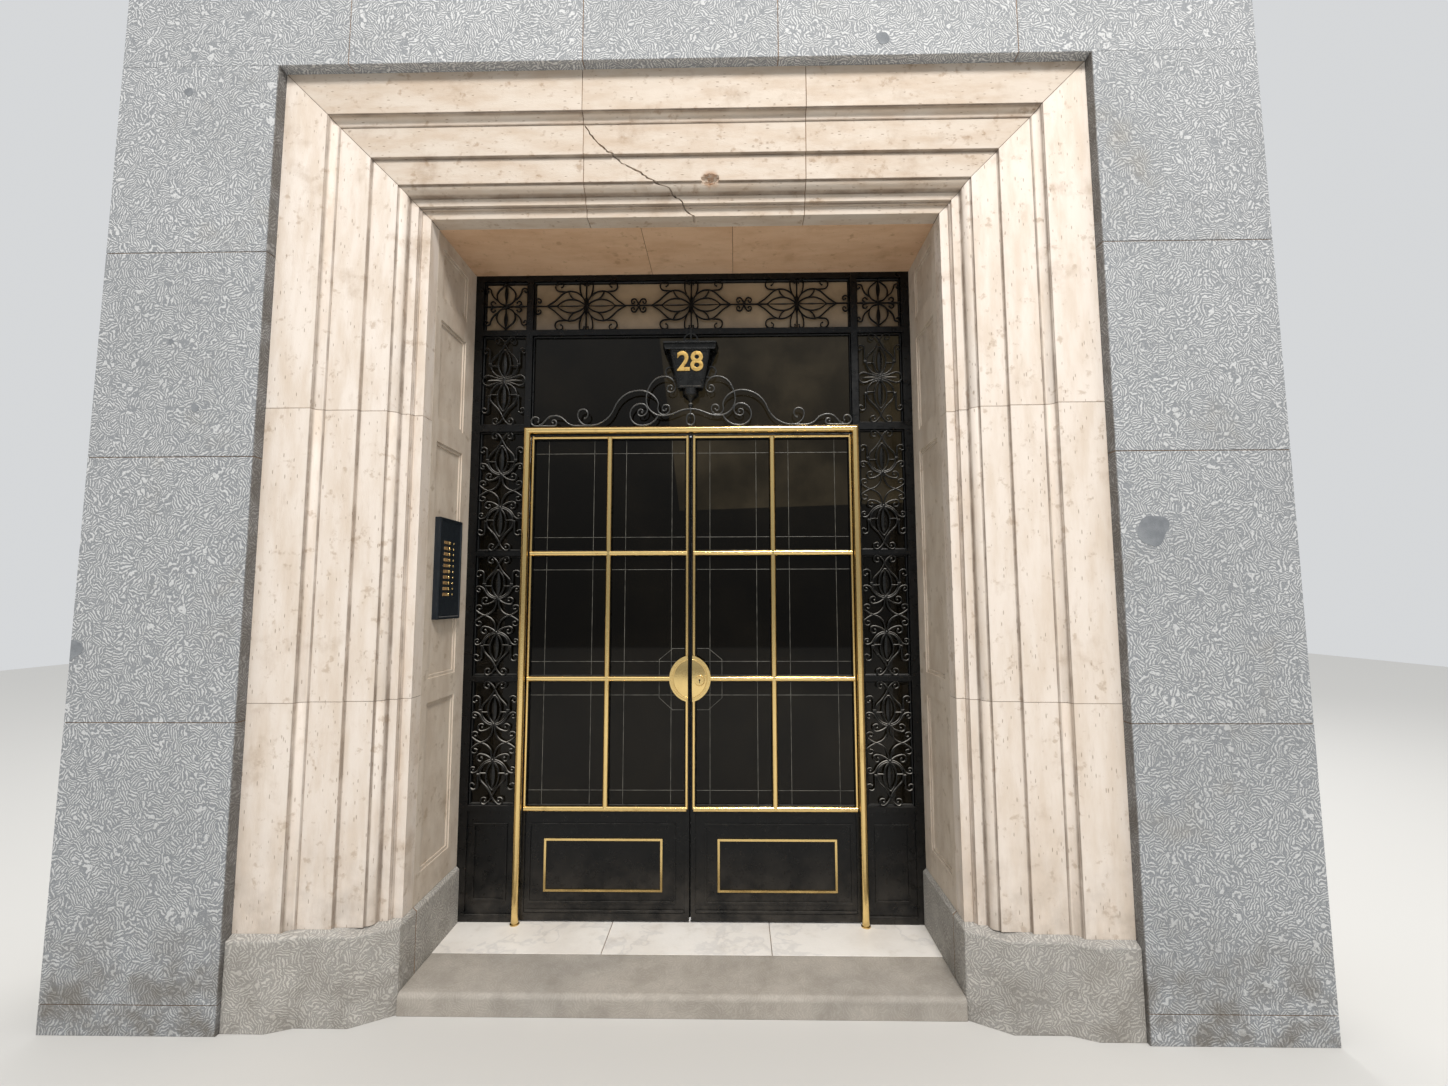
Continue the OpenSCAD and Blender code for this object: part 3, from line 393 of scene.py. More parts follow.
def masonry(name, node, joints, materials, slot, seed, edge=0.002, gap=0.003, recess=0.003, wounds=()):
    """Stones cut from a CAD node at its joints, with sunk mortar beds between them."""
    stones, beds = [solid_of(node)], []
    for point, normal in joints:
        point, normal = Vector(point), Vector(normal)
        cut = []
        for stone in stones:
            sides = [(v.co - point).dot(normal) for v in stone.verts]
            if min(sides) > -gap or max(sides) < gap:
                cut.append(stone)
                continue
            first, last = point - normal * gap / 2, point + normal * gap / 2
            cut += [keep_side(stone, last, normal), keep_side(stone, first, -normal)]
            bed = keep_side(keep_side(stone, first, normal), last, -normal)
            sink(bed, normal, recess)
            beds.append(bed)
        stones = cut
    draw, whole, tones = random.Random(seed), bmesh.new(), []
    for part in stones + beds:
        bedding = part in beds
        if not bedding:
            met = [wound for wound in wounds if meets(part, wound)]
            for wound in met:
                part = chipped(part, wound)
            rounded(part, edge, 0.1 if met else 0.0)
        for face in part.faces:
            face.material_index = int(bedding)
        block = bpy.data.meshes.new("block")
        part.to_mesh(block)
        whole.from_mesh(block)
        tones += [draw.random()] * len(block.vertices)
        bpy.data.meshes.remove(block)
    made = piece(name, whole, materials, "portal", slot, node)
    made.data.attributes.new("tone", "FLOAT", "POINT").data.foreach_set("value", tones)
    return made


def level_joints(*heights):
    return [((0, 0, z), (0, 0, 1)) for z in heights]


def upright_joints(*places):
    return [((x, 0, 0), (1, 0, 0)) for x in places]


inner_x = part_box("granite_jamb_right")[0][0]
tooled_granite = granite("tooled_granite", "dddede", "7e8287", 0.74, 0.9)
# The jamb strips' granite, with its inner returns painted darker as painted shade
strip_granite = granite("strip_granite", "dddede", "7e8287", 0.74, 0.9, inner_x)
rust_mortar = mortar("rust_mortar", "9c7a58", "6e5a48")
strip_beds = level_joints(2.996, 2.148, 1.118, 0.105)
for side, seed in (("left", 3), ("right", 5)):
    masonry("granite_strip_" + side, "granite_jamb_" + side, strip_beds, [strip_granite, rust_mortar],
            "granite", seed)
course_joints = upright_joints(-1.392, -0.409, 0.404, 1.390)
masonry("granite_course", "granite_head", course_joints, [tooled_granite, rust_mortar], "granite", 7)

# Smooth grey filler where old fixings were taken out of the granite, each at x and z with its
# half width
filler = mortar("grey_filler", "8b8f93", "74787d")
fillings, draw = bmesh.new(), random.Random(11)
face_y, bay_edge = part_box("granite_head")[0][1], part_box("granite_head")[1][0] - 0.002
filler_t, rim_count = 0.0012, 28
for x, z, width in ((-2.058, 3.699, 0.020), (0.836, 3.887, 0.030), (-1.932, 2.346, 0.018),
                    (-2.345, 1.393, 0.045), (1.808, 1.840, 0.065), (-2.05, 2.62, 0.012)):
    lean, lobes, rim_points = draw.uniform(0, math.tau), [draw.uniform(0.03, 0.08) for _ in range(3)], []
    for i in range(rim_count):
        turn = i * math.tau / rim_count
        wobble = sum(lobe * math.sin((k + 2) * turn + lean * (k + 1)) for k, lobe in enumerate(lobes))
        reach = width * (0.9 + wobble)
        px = min(max(x + reach * math.cos(turn), -bay_edge), bay_edge)
        rim_points.append((px, z + reach * math.sin(turn)))
    front_rim = [fillings.verts.new((px, face_y - filler_t, pz)) for px, pz in rim_points]
    back_rim = [fillings.verts.new((px, face_y + filler_t, pz)) for px, pz in rim_points]
    fillings.faces.new(front_rim)
    fillings.faces.new(back_rim[::-1])
    for i in range(rim_count):
        fillings.faces.new((front_rim[i], back_rim[i], back_rim[i - 1], front_rim[i - 1]))
piece("granite_fillings", fillings, [filler], "portal", "granite")


# ---------------------------------------------------------------- stepped surround
# Cream travertine in long moulded stones, one profile up both jambs and over the head, mitred
# at the corners. The stone shows soft bedding, small pits, brown stains, a crack and a chip.

# Small round pits of many sizes
pitting, takes, gives = effect("pits", [("Vector", "Vector", None), ("Scale", "Float", 60.0),
                                        ("Size", "Float", 0.25)], [("Pits", "Float")])
holes = put(pitting, "ShaderNodeTexVoronoi", {"Vector": takes["Vector"], "Scale": takes["Scale"]})
which = put(pitting, "ShaderNodeSeparateColor", {0: holes.outputs["Color"]}).outputs[0]
pit_size = calc(pitting, "MULTIPLY", takes["Size"], ramp(pitting, which, 0.55, 1.0))
inside = calc(pitting, "SUBTRACT", pit_size, holes.outputs["Distance"])
pitting.links.new(ramp(pitting, inside, 0.0, 0.05), gives["Pits"])

# Painted shade in the inner corners between the bands, where the steps shade them, and the dark line of the
# mitre joint
edge_x, _, edge_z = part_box("surround_head")[1]
steps_in = (0.1855, 0.2205, 0.3595, 0.4735, 0.5045, 0.5430)
step_shade_and_mitre, takes, gives = effect("step_shade_and_mitre", [("Vector", "Vector", None)], [("Mask", "Float")])
axes = put(step_shade_and_mitre, "ShaderNodeSeparateXYZ", {0: takes["Vector"]}).outputs
from_side = calc(step_shade_and_mitre, "SUBTRACT", edge_x, calc(step_shade_and_mitre, "ABSOLUTE", axes["X"]))
from_top = calc(step_shade_and_mitre, "SUBTRACT", edge_z, axes["Z"])
way_in = calc(step_shade_and_mitre, "MINIMUM", from_side, from_top)
mitre = calc(step_shade_and_mitre, "ABSOLUTE", calc(step_shade_and_mitre, "SUBTRACT", from_side, from_top))
lines = ramp(step_shade_and_mitre, mitre, 0.0012, 0.0030, 1.0, 0.0)
for step_in in steps_in:
    off = calc(step_shade_and_mitre, "ABSOLUTE", calc(step_shade_and_mitre, "SUBTRACT", way_in, step_in))
    lines = calc(step_shade_and_mitre, "MAXIMUM", lines, ramp(step_shade_and_mitre, off, 0.0014, 0.0062, 0.8, 0.0))
step_shade_and_mitre.links.new(lines, gives["Mask"])


chip_at, chip_half = (0.119, -0.308, 3.349), (0.040, 0.024, 0.024)


def travertine(name, base, deep, stain, bedding, pits=0.25, grime=0.0, corners=0.0, broken=False):
    """Cream stone; bedding is how much its layers are drawn out along x, y and z."""
    material, tree, shader, where = finish(name)
    tone, shifted = by_stone(tree, where)
    layers = put(tree, "ShaderNodeMapping", {0: shifted, 3: bedding}).outputs[0]
    colour = mixed(tree, patchy(tree, layers, 9.0, 0.35, 0.7), paint(base), paint(deep))
    colour = stained(tree, colour, tone, 0.3, deep)
    colour = stained(tree, colour, patchy(tree, shifted, 5.0, 0.56, 0.75), 0.55, stain)
    colour = stained(tree, colour, patchy(tree, layers, 30.0, 0.55, 0.8), 0.3, stain)
    colour = stained(tree, colour, patchy(tree, shifted, 21.0, 0.58, 0.7), 0.6, stain)
    holes = use(tree, pitting, Vector=layers, Scale=74.0, Size=pits)
    colour = stained(tree, colour, holes, 0.55, "8a7057")
    # Painted shade along the inner corners of the bands, and the dark line of the mitre joint
    if corners:
        lines = calc(tree, "MULTIPLY", use(tree, step_shade_and_mitre, Vector=where),
                     between(tree, patchy(tree, where, 7.0, 0.3, 0.7), 0.6, 1.0))
        colour = stained(tree, colour, lines, corners, "5f4c3b")
    if broken:
        far = vector(tree, "DISTANCE", where, chip_at, gives="Value")
        fresh = calc(tree, "MULTIPLY", ramp(tree, far, 0.02, 0.05, 1.0, 0.0),
                     patchy(tree, where, 50.0, 0.3, 0.6))
        colour = stained(tree, colour, fresh, 0.75, "a97c55")
    if grime:
        colour = stained(tree, colour, dirty(tree, where, 0.9), grime, "8d8073")
    relief = calc(tree, "SUBTRACT", calc(tree, "MULTIPLY", patchy(tree, layers, 160.0, 0.3, 0.7), 0.3), holes)
    rough = between(tree, patchy(tree, shifted, 20.0, 0.3, 0.7), 0.62, 0.8)
    dress(tree, shader, relief, 0.0012, Base_Color=colour, Roughness=rough)
    return material


jamb_stone = travertine("jamb_travertine", "ece2d8", "dccdbd", "b9a48e", (1.6, 1.6, 0.35), 0.26, 0.6, 0.85)
head_stone = travertine("head_travertine", "d5cabd", "c6b4a1", "a0876e", (0.45, 1.6, 1.6), 0.26,
                        corners=0.85, broken=True)
brown_mortar = mortar("brown_mortar", "8a6d54", "5d4838")
jamb_beds = level_joints(2.357, 1.183)
for side, seed in (("left", 13), ("right", 17)):
    masonry("surround_stones_" + side, "surround_jamb_" + side, jamb_beds, [jamb_stone, brown_mortar],
            "travertine", seed, edge=0.0015, gap=0.002)


def skin(shape, rings):
    """Closes the four sides between rings of four corners."""
    for first, last in zip(rings, rings[1:]):
        for i in range(4):
            shape.faces.new((first[i - 1], first[i], last[i], last[i - 1]))


# A crack runs down from the middle band to the arris of the middle stone of the head
crack_line = [(-0.416, 3.583), (-0.389, 3.548), (-0.368, 3.520), (-0.332, 3.487),
              (-0.315, 3.470), (-0.292, 3.458), (-0.262, 3.430), (-0.234, 3.412), (-0.178, 3.381),
              (-0.146, 3.357), (-0.114, 3.342), (-0.059, 3.322), (-0.036, 3.304), (-0.019, 3.297),
              (0.016, 3.254), (0.040, 3.236), (0.051, 3.222)]
crack, draw, jagged = bmesh.new(), random.Random(23), []
for first, last in zip(crack_line, crack_line[1:]):
    for t in (0, 1 / 3, 2 / 3):
        swerve = draw.uniform(-0.0024, 0.0024)
        jagged.append([a + (b - a) * t + swerve for a, b in zip(first, last)])
jagged.append(crack_line[-1])
crack_front, crack_back, crack_rings = -0.36, -0.19, []
for x, z in jagged:
    half_gap = draw.uniform(0.0012, 0.0032)
    crack_rings.append([crack.verts.new((x + sign * half_gap, y, z + sign * half_gap)) for sign, y in
                        ((1, crack_front), (1, crack_back), (-1, crack_back), (-1, crack_front))])
skin(crack, crack_rings)
crack.faces.new(crack_rings[0])
crack.faces.new(crack_rings[-1][::-1])

# and a chip is missing from the arris of its inner band
chip, draw = bmesh.new(), random.Random(29)
bmesh.ops.create_icosphere(chip, subdivisions=3, radius=1)
for v in chip.verts:
    v.co = Vector([chip_at[k] + v.co[k] * chip_half[k] + draw.uniform(-0.004, 0.004) for k in range(3)])
masonry("surround_stones_head", "surround_head", upright_joints(-0.419, 0.522), [head_stone, brown_mortar],
        "travertine", 19, edge=0.0015, gap=0.003, wounds=(crack, chip))


# ---------------------------------------------------------------- wall behind
# Rough rendered masonry that backs the facing stones, plain because it is never seen from
# the front.
render_coat, tree, shader, where = finish("lime_render")
coat = mixed(tree, patchy(tree, where, 2.2, 0.35, 0.7), paint("d2cabb"), paint("bdb3a3"))
coat = stained(tree, coat, dirty(tree, where, 0.7), 0.6, "8a8176")
dress(tree, shader, patchy(tree, where, 45.0, 0.3, 0.7), 0.003, Base_Color=coat, Roughness=0.92)


def give(material, *names):
    """Sets the finish of CAD nodes whose shape stays as it is."""
    for name in names:
        for holder in nodes[name].material_slots:
            holder.material = material


give(render_coat, "wall_backing", "wall_over_door")


# ---------------------------------------------------------------- plinths, step and threshold
# The surround stands on granite plinths that follow its plan. Between them lies one worn
# granite step, and behind it a threshold of three white marble slabs.
worn_granite = granite("worn_granite", "dbd6ce", "96938e", 0.55, 0.55)
step_granite = granite("step_granite", "d6cdc2", "b0a89d", 0.22, 0.35)
joint_y = -0.152
return_joint = [((0, joint_y, 0), (0, 1, 0))]
for side in ("left", "right"):
    masonry("plinth_stones_" + side, "plinth_" + side, return_joint, [worn_granite, rust_mortar],
            "granite", 31, edge=0.004, recess=0.001)
masonry("step_stone", "front_step", [], [step_granite], "granite", 37, edge=0.003)

white_marble, tree, shader, where = finish("white_marble")
_, shifted = by_stone(tree, where)
bend = put(tree, "ShaderNodeTexNoise", {"Vector": shifted, "Scale": 5.0, "Detail": 6.0}).outputs["Color"]
drawn = vector(tree, "MULTIPLY_ADD", bend, (0.5, 0.5, 0.5), shifted)
veins = put(tree, "ShaderNodeTexNoise", {"Vector": drawn, "Scale": 2.6, "Detail": 4.0}).outputs["Fac"]
veins = ramp(tree, calc(tree, "ABSOLUTE", calc(tree, "SUBTRACT", veins, 0.5)), 0.0, 0.035, 1.0, 0.0)
slab = mixed(tree, patchy(tree, shifted, 3.0, 0.35, 0.7), paint("f6f2ec"), paint("e8e2da"))
slab = stained(tree, slab, veins, 0.2, "9b9ba0")
slab = stained(tree, slab, patchy(tree, shifted, 12.0, 0.55, 0.8), 0.3, "b9ad9c")
dress(tree, shader, patchy(tree, shifted, 60.0, 0.3, 0.7), 0.0003, Base_Color=slab,
      Roughness=between(tree, patchy(tree, shifted, 16.0, 0.3, 0.7), 0.3, 0.5))
slab_joints = upright_joints(-0.360, 0.368)
masonry("threshold_slabs", "marble_threshold", slab_joints, [white_marble, brown_mortar], "marble", 41,
        edge=0.0015, gap=0.003, recess=0.005)


# ---------------------------------------------------------------- reveals and soffit
# The sides and top of the recess are lined with the same travertine, the sides with sunk
# panels inside a raised border, the top in three slabs. They lie in shade, so their stone is painted darker
# than the surround's, and the soffit's browner too, as painted shade.
reveal_stone = travertine("reveal_travertine", "d8ccbd", "c7b8a7", "a8957f", (1.2, 1.2, 0.5), 0.16, 0.3)
soffit_stone = travertine("soffit_travertine", "e0bd9c", "d2ac89", "b08a67", (0.5, 1.4, 1.0), 0.14)
for side in ("left", "right"):
    masonry("reveal_stones_" + side, "reveal_lining_" + side, [], [reveal_stone], "travertine", 43,
            edge=0.0015)
masonry("soffit_slabs", "soffit_lining", upright_joints(-0.197, 0.212), [soffit_stone, brown_mortar],
        "travertine", 47, edge=0.0012, gap=0.002)


# ---------------------------------------------------------------- iron frame
# Rolled and forged iron, painted satin black: posts, rails, glazing beads, kick panels. The
# paint is rubbed thin in places, and every upward face is painted lighter, partly as dust and partly as
# painted highlight.

def ironwork(name, colour, worn, sheen, dust_and_highlight, gloss):
    """Painted iron: its paint and that of rubbed places, its smoothness, the dust and painted highlight on
    its upward faces, and its shine.
    """
    material, tree, shader, where = finish(name)
    facing = put(tree, "ShaderNodeNewGeometry").outputs["Normal"]
    up = put(tree, "ShaderNodeSeparateXYZ", {0: facing}).outputs["Z"]
    # Dust and painted highlight: upward faces are painted a pale grey
    dust_and_highlight_mask = calc(tree, "MULTIPLY", ramp(tree, up, 0.3, 0.9), patchy(tree, where, 24.0, 0.2, 0.6))
    coat = stained(tree, paint(colour), patchy(tree, where, 40.0, 0.58, 0.74), 0.5, worn)
    coat = stained(tree, coat, dust_and_highlight_mask, dust_and_highlight, "c9c5bd")
    coat = stained(tree, coat, dirty(tree, where, 0.5), 0.35, "6a635a")
    rough = calc(tree, "ADD", between(tree, patchy(tree, where, 30.0, 0.3, 0.7), sheen, sheen + 0.14),
                 calc(tree, "MULTIPLY", dust_and_highlight_mask, 0.1))
    dress(tree, shader, patchy(tree, where, 220.0, 0.3, 0.7), 0.0002, Base_Color=coat, Roughness=rough,
          Specular_IOR_Level=gloss)
    return material


black_enamel = ironwork("black_enamel", "08090a", "232424", 0.26, 0.10, 0.28)
forged_iron = ironwork("forged_iron", "090a0a", "3a3a38", 0.22, 1.0, 0.42)
give(black_enamel, "frame_uprights", "frame_bars", "side_rails", "side_kick_panels", "frame_hinges",
     "leaf_frame_left", "leaf_frame_right", "leaf_hinges_left", "leaf_hinges_right",
     "kick_panel_left", "kick_panel_right")


def moulding(shape, corners, outward, profile):
    """A mitred moulding round four corners; its profile is a ring of (inset, rise) points."""
    corners, outward, loops = [Vector(c) for c in corners], Vector(outward), []
    for inset, rise in profile:
        loop = []
        for i in range(4):
            one = (corners[i - 1] - corners[i]).normalized()
            other = (corners[(i + 1) % 4] - corners[i]).normalized()
            inward = (one + other) * inset / one.cross(other).length
            loop.append(shape.verts.new(corners[i] + inward + outward * rise))
        loops.append(loop)
    for k in range(len(profile)):
        for i in range(4):
            shape.faces.new((loops[k - 1][i - 1], loops[k - 1][i], loops[k][i], loops[k][i - 1]))


def upright_corners(x, z, y):
    return [(x[0], y, z[0]), (x[1], y, z[0]), (x[1], y, z[1]), (x[0], y, z[1])]


forwards = (0, -1, 0)
rails, rail_half = (0.593, 1.199, 1.805), 0.012
light_in, head_light, head_rail_h, transom = 0.836, 2.417, 0.034, 2.913
post_in, door_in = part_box("frieze_corners")[1][0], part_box("frieze_scrolls")[1][0]
frieze_low, frieze_top = [corner[2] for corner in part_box("frieze_scrolls")]
_, pane_face, transom_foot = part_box("transom_glass")[0]
bead_y = pane_face - 0.0005
bead_profile = [(0, 0), (0, 0.0095), (0.003, 0.0125), (0.007, 0.0105), (0.010, 0)]
beads = bmesh.new()
side_lights = [(low + rail_half, high - rail_half) for low, high in zip(rails, rails[1:])]
side_lights += [(rails[-1] + rail_half, head_light), (head_light + head_rail_h, transom),
                (frieze_low, frieze_top)]
for side in (-1, 1):
    light = sorted((side * light_in, side * post_in))
    for low, high in side_lights:
        moulding(beads, upright_corners(light, (low, high), bead_y), forwards, bead_profile)
for low, high in ((transom_foot, transom), (frieze_low, frieze_top)):
    moulding(beads, upright_corners((-door_in, door_in), (low, high), bead_y), forwards, bead_profile)
piece("glazing_beads", beads, [black_enamel], "portal", "black_enamel")


# ---------------------------------------------------------------- glass
# Dark panes of rolled glass in the frieze, the transom light, the side lights and the doors,
# held by beads, with a patchy painted reflection laid over their dark tint.

def add_block(shape, low, high):
    """A plain block between two corners."""
    made = bmesh.ops.create_cube(shape, size=1)["verts"]
    for v in made:
        v.co = Vector([low[k] + (v.co[k] + 0.5) * (high[k] - low[k]) for k in range(3)])
    return made


dark_glass, tree, shader, where = finish("dark_glass")
# Painted reflection: soft brown patches over the dark tint
tint_and_reflection = stained(tree, paint("0d0a05"), patchy(tree, where, 2.5, 0.35, 0.75), 0.7, "221d14")
dress(tree, shader, Base_Color=tint_and_reflection, Roughness=0.03, Transmission_Weight=0.75, IOR=1.3, Metallic=0.0)
give(dark_glass, "transom_glass", "side_glass", "leaf_glass_left", "leaf_glass_right")

# The frieze panes carry a pale brown sheet on their face, a painted reflection of the soffit, so the scrolls
# stand out dark against it
reflection_sheet = mottled("painted_reflection_sheet", "a08d73", "7c6c57", (3.0, 0.3, 0.7), 60.0, 0.0001, Roughness=0.22)
frieze_sheets, sheet_front, sheet_back = bmesh.new(), pane_face - 0.0007, pane_face + 0.0002
for x0, x1 in ((-post_in, -light_in), (-door_in, door_in), (light_in, post_in)):
    add_block(frieze_sheets, (x0, sheet_front, frieze_low), (x1, sheet_back, frieze_top))
piece("frieze_reflection_sheet", frieze_sheets, [reflection_sheet], "portal", "dark_glass")


# ---------------------------------------------------------------- brass
# A polished brass tube frames the doors; half-round brass bars cover the glazing bars, and a
# flat brass line runs round each kick panel. Streaks of brown tarnish run along them.
polished_brass, tree, shader, where = finish("polished_brass")
streaks = put(tree, "ShaderNodeMapping", {0: where, 3: (1.0, 1.0, 0.35)}).outputs[0]
spots = patchy(tree, streaks, 14.0, 0.56, 0.85)
colour = stained(tree, paint("f6d793"), spots, 0.6, "a07a45")
colour = stained(tree, colour, dirty(tree, where, 0.6), 0.7, "5b4526")
dress(tree, shader, patchy(tree, where, 180.0, 0.35, 0.65), 0.0001, Base_Color=colour,
      Roughness=between(tree, spots, 0.16, 0.41), Metallic=1.0)
give(polished_brass, "brass_posts", "brass_head", "brass_trim_left", "brass_trim_right",
     "push_plate_left", "push_plate_right")


# ---------------------------------------------------------------- forged scrollwork
# The side lights, the frieze and the crest over the doors are filled with flat iron bars forged
# into scrolls: softened arrises, ends drawn out thin and curled round a ball, collars where
# bars are clasped together, knots and leaves where they meet.

# A bar drawn along a path: the path's points lie in x and y, and are stood upright at a depth
drawn_bar, takes, gives = effect(
    "drawn_bar", [("Path", "Geometry", None), ("Width", "Float", 0.007), ("Thickness", "Float", 0.01),
                  ("Rounding", "Float", 0.0018), ("Depth", "Float", 0.0), ("Finish", "Material", None)],
    [("Bar", "Geometry")], "GeometryNodeTree")
path = put(drawn_bar, "GeometryNodeMeshToCurve", {0: takes["Path"]}).outputs[0]
path = put(drawn_bar, "GeometryNodeSetCurveNormal", {0: path}, mode="Z_UP").outputs[0]
section = put(drawn_bar, "GeometryNodeCurvePrimitiveQuadrilateral",
              {"Width": takes["Width"], "Height": takes["Thickness"]}).outputs[0]
section = put(drawn_bar, "GeometryNodeFilletCurve", {0: section, "Radius": takes["Rounding"], "Count": 1},
              mode="POLY").outputs[0]
taper = put(drawn_bar, "GeometryNodeInputNamedAttribute", {"Name": "taper"}, data_type="FLOAT").outputs[0]
bar = put(drawn_bar, "GeometryNodeCurveToMesh",
          {0: path, 1: section, "Scale": taper, "Fill Caps": True}).outputs[0]

# Rounded heads set on points, each with its own size: balls, knots, rivets, buttons
set_heads, head_takes, head_gives = effect(
    "set_heads", [("Points", "Geometry", None), ("Flatness", "Float", 0.7), ("Depth", "Float", 0.0),
                  ("Finish", "Material", None)], [("Heads", "Geometry")], "GeometryNodeTree")
ball = put(set_heads, "GeometryNodeMeshUVSphere", {"Segments": 14, "Rings": 8, "Radius": 1.0}).outputs[0]
flat = put(set_heads, "ShaderNodeCombineXYZ", {0: 1.0, 1: 1.0, 2: head_takes["Flatness"]}).outputs[0]
ball = put(set_heads, "GeometryNodeTransform", {"Geometry": ball, "Scale": flat}).outputs[0]
own_size = put(set_heads, "GeometryNodeInputNamedAttribute", {"Name": "size"}, data_type="FLOAT").outputs[0]
heads = put(set_heads, "GeometryNodeInstanceOnPoints", {"Points": head_takes["Points"], "Instance": ball,
                                                        "Scale": own_size}).outputs[0]

for tree, made, ins, outs in ((drawn_bar, bar, takes, gives), (set_heads, heads, head_takes, head_gives)):
    away = put(tree, "ShaderNodeCombineXYZ", {1: ins["Depth"]}).outputs[0]
    stood = put(tree, "GeometryNodeTransform", {"Geometry": made, "Translation": away,
                                                "Rotation": Euler((math.pi / 2, 0, 0))}).outputs[0]
    stood = put(tree, "GeometryNodeRealizeInstances", {0: stood}).outputs[0]
    stood = put(tree, "GeometryNodeSetMaterial", {0: stood, "Material": ins["Finish"]}).outputs[0]
    tree.links.new(stood, outs[0])


def grown(tree, points, edges, attribute, values, **settings):
    """Runs a geometry tree over bare points and gives back the plain mesh that it makes."""
    mesh = bpy.data.meshes.new("points")
    mesh.from_pydata(points, edges, [])
    mesh.attributes.new(attribute, "FLOAT", "POINT").data.foreach_set("value", values)
    holder = bpy.data.objects.new("points", mesh)
    scene.collection.objects.link(holder)
    maker = holder.modifiers.new("maker", "NODES")
    maker.node_group = tree
    for item in tree.interface.items_tree:
        if item.item_type == "SOCKET" and item.in_out == "INPUT" and item.name in settings:
            maker[item.identifier] = settings[item.name]
    made = bpy.data.meshes.new_from_object(holder.evaluated_get(bpy.context.evaluated_depsgraph_get()))
    holder.modifiers.clear()
    bpy.data.objects.remove(holder)
    return made


def bars_of(paths, depth, material, width=0.007, thickness=0.010, rounding=0.0018):
    """Bars along paths of (x, z) points in metres; a path comes with its thickness at the tail,
    to which the bar is drawn out over the last part of its length."""
    points, edges, taper, drawn_from = [], [], [], 0.55
    for line, tail in paths:
        start, run = len(points), [0.0]
        for a, b in zip(line, line[1:]):
            run.append(run[-1] + math.dist(a, b))
        for (x, z), far in zip(line, run):
            points.append((x, z, 0))
            taper.append(1 - (1 - tail) * max(0.0, far / run[-1] - drawn_from) / (1 - drawn_from))
        edges += [(start + i, start + i + 1) for i in range(len(line) - 1)]
    return grown(drawn_bar, points, edges, "taper", taper, Width=width, Thickness=thickness,
                 Rounding=rounding, Depth=depth, Finish=material)


def heads_of(places, depth, material, flatness=0.7):
    """Rounded heads at places of (x, z, radius) in metres."""
    return grown(set_heads, [(x, z, 0) for x, z, _ in places], [], "size", [r for _, _, r in places],
                 Flatness=flatness, Depth=depth, Finish=material)


def bent(p, heading, steps, tail=0.7):
    """A bar from p, in mm. Steps are (radius, turn) or (length, 0), a left turn positive. A tail
    under 1 is drawn out thin and ends in a ball."""
    (x, z), h, points, facet_turn = p, math.radians(heading), [p], 11
    for reach, turn in steps:
        if turn == 0:
            x, z = x + reach * math.cos(h), z + reach * math.sin(h)
            points.append((x, z))
            continue
        r, swept = math.copysign(reach, turn), math.radians(turn)
        count = max(2, math.ceil(abs(turn) / facet_turn))
        cx, cz = x - r * math.sin(h), z + r * math.cos(h)
        for i in range(1, count + 1):
            a = h + swept * i / count
            points.append((cx + r * math.sin(a), cz - r * math.cos(a)))
        (x, z), h = points[-1], h + swept
    return "bar", points, tail


def knot(x, z, r):
    return "knot", [(x, z)], r


def leaf(a, b, half_w):
    return "leaf", [a, b], half_w


def collar(a, b, w):
    return "collar", [a, b], w


def copied(parts, *maps):
    """The parts laid out once for each map of (x, z)."""
    return [(kind, [place(x, z) for x, z in points], measure)
            for place in maps for kind, points, measure in parts]


def mirrored(parts):
    return copied(parts, lambda x, z: (x, z), lambda x, z: (-x, z))


def up_down(parts):
    return copied(parts, lambda x, z: (x, z), lambda x, z: (x, -z))


def moved(parts, dx, dz):
    return copied(parts, lambda x, z: (x + dx, z + dz))


def turned(parts, sign):
    """Parts turned a quarter, to the left for 1 and to the right for -1."""
    return copied(parts, lambda x, z: (-sign * z, sign * x))


def sin(a):
    return math.sin(math.radians(a))


def cos(a):
    return math.cos(math.radians(a))


def lens(half_l, half_w):
    """Radius of an arc that spans twice half_l and rises half_w, and the half angle it turns."""
    r = (half_l ** 2 + half_w ** 2) / (2 * half_w)
    return r, math.degrees(math.asin(half_l / r))


# Sizes of the drawn work, in mm: half a bar, one bar's middle from that of the bar beside it, how
# far the curls stand over a bud's neck, and the middles and half widths of the lights it fills
half_bar, beside, tip_rise = 3.5, 7.6, 36.6
side_middle, side_half, frieze_middle, frieze_half = 947, 111, 3071, 129
motif_pitch, motif_l, motif_petal = 536, 199.9, 70


def bud_radius(long):
    lean = (cos(112) - cos(140)) / (sin(112) - sin(140))
    return long / (1 + lean + 0.8 * (sin(50) - (1 - cos(50)) * lean))


def bud(base, long):
    """A round base drawn in to a point whose bars cross and curl back, with petals inside."""
    r = bud_radius(long)
    neck = r * (1 - 0.8 * (1 - cos(50))) / (sin(112) - sin(140))
    petal = long * 0.4
    petal_r, petal_a = lens(petal, 28)
    half = [bent((0, base), 0, [(r, 90), (0.8 * r, 50), (neck, -28), (73, 35), (16, 213), (9, 150)]),
            bent((3, base + 2), 90 - petal_a, [(petal_r, 2 * petal_a)], 0.8),
            collar((29, base + r - 7.5), (r, base + r - 7.5), 5)]
    return mirrored(half) + [leaf((0, base - 1), (0, base + 2 * petal + 1), 12), knot(0, base - 4, 9.5)]


def hook(r, half_w, z, stem):
    """A hook beside a bud, clasped to it by a collar, that curls against the post."""
    x = r + beside
    curl = (half_w - half_bar - x) / 2
    return [bent((x, z - 4), 90, [(stem + 4, 0), (curl, -190), (curl * 0.55, -150)]),
            collar((r - 4.5, z), (x + 4.5, z), 12)]


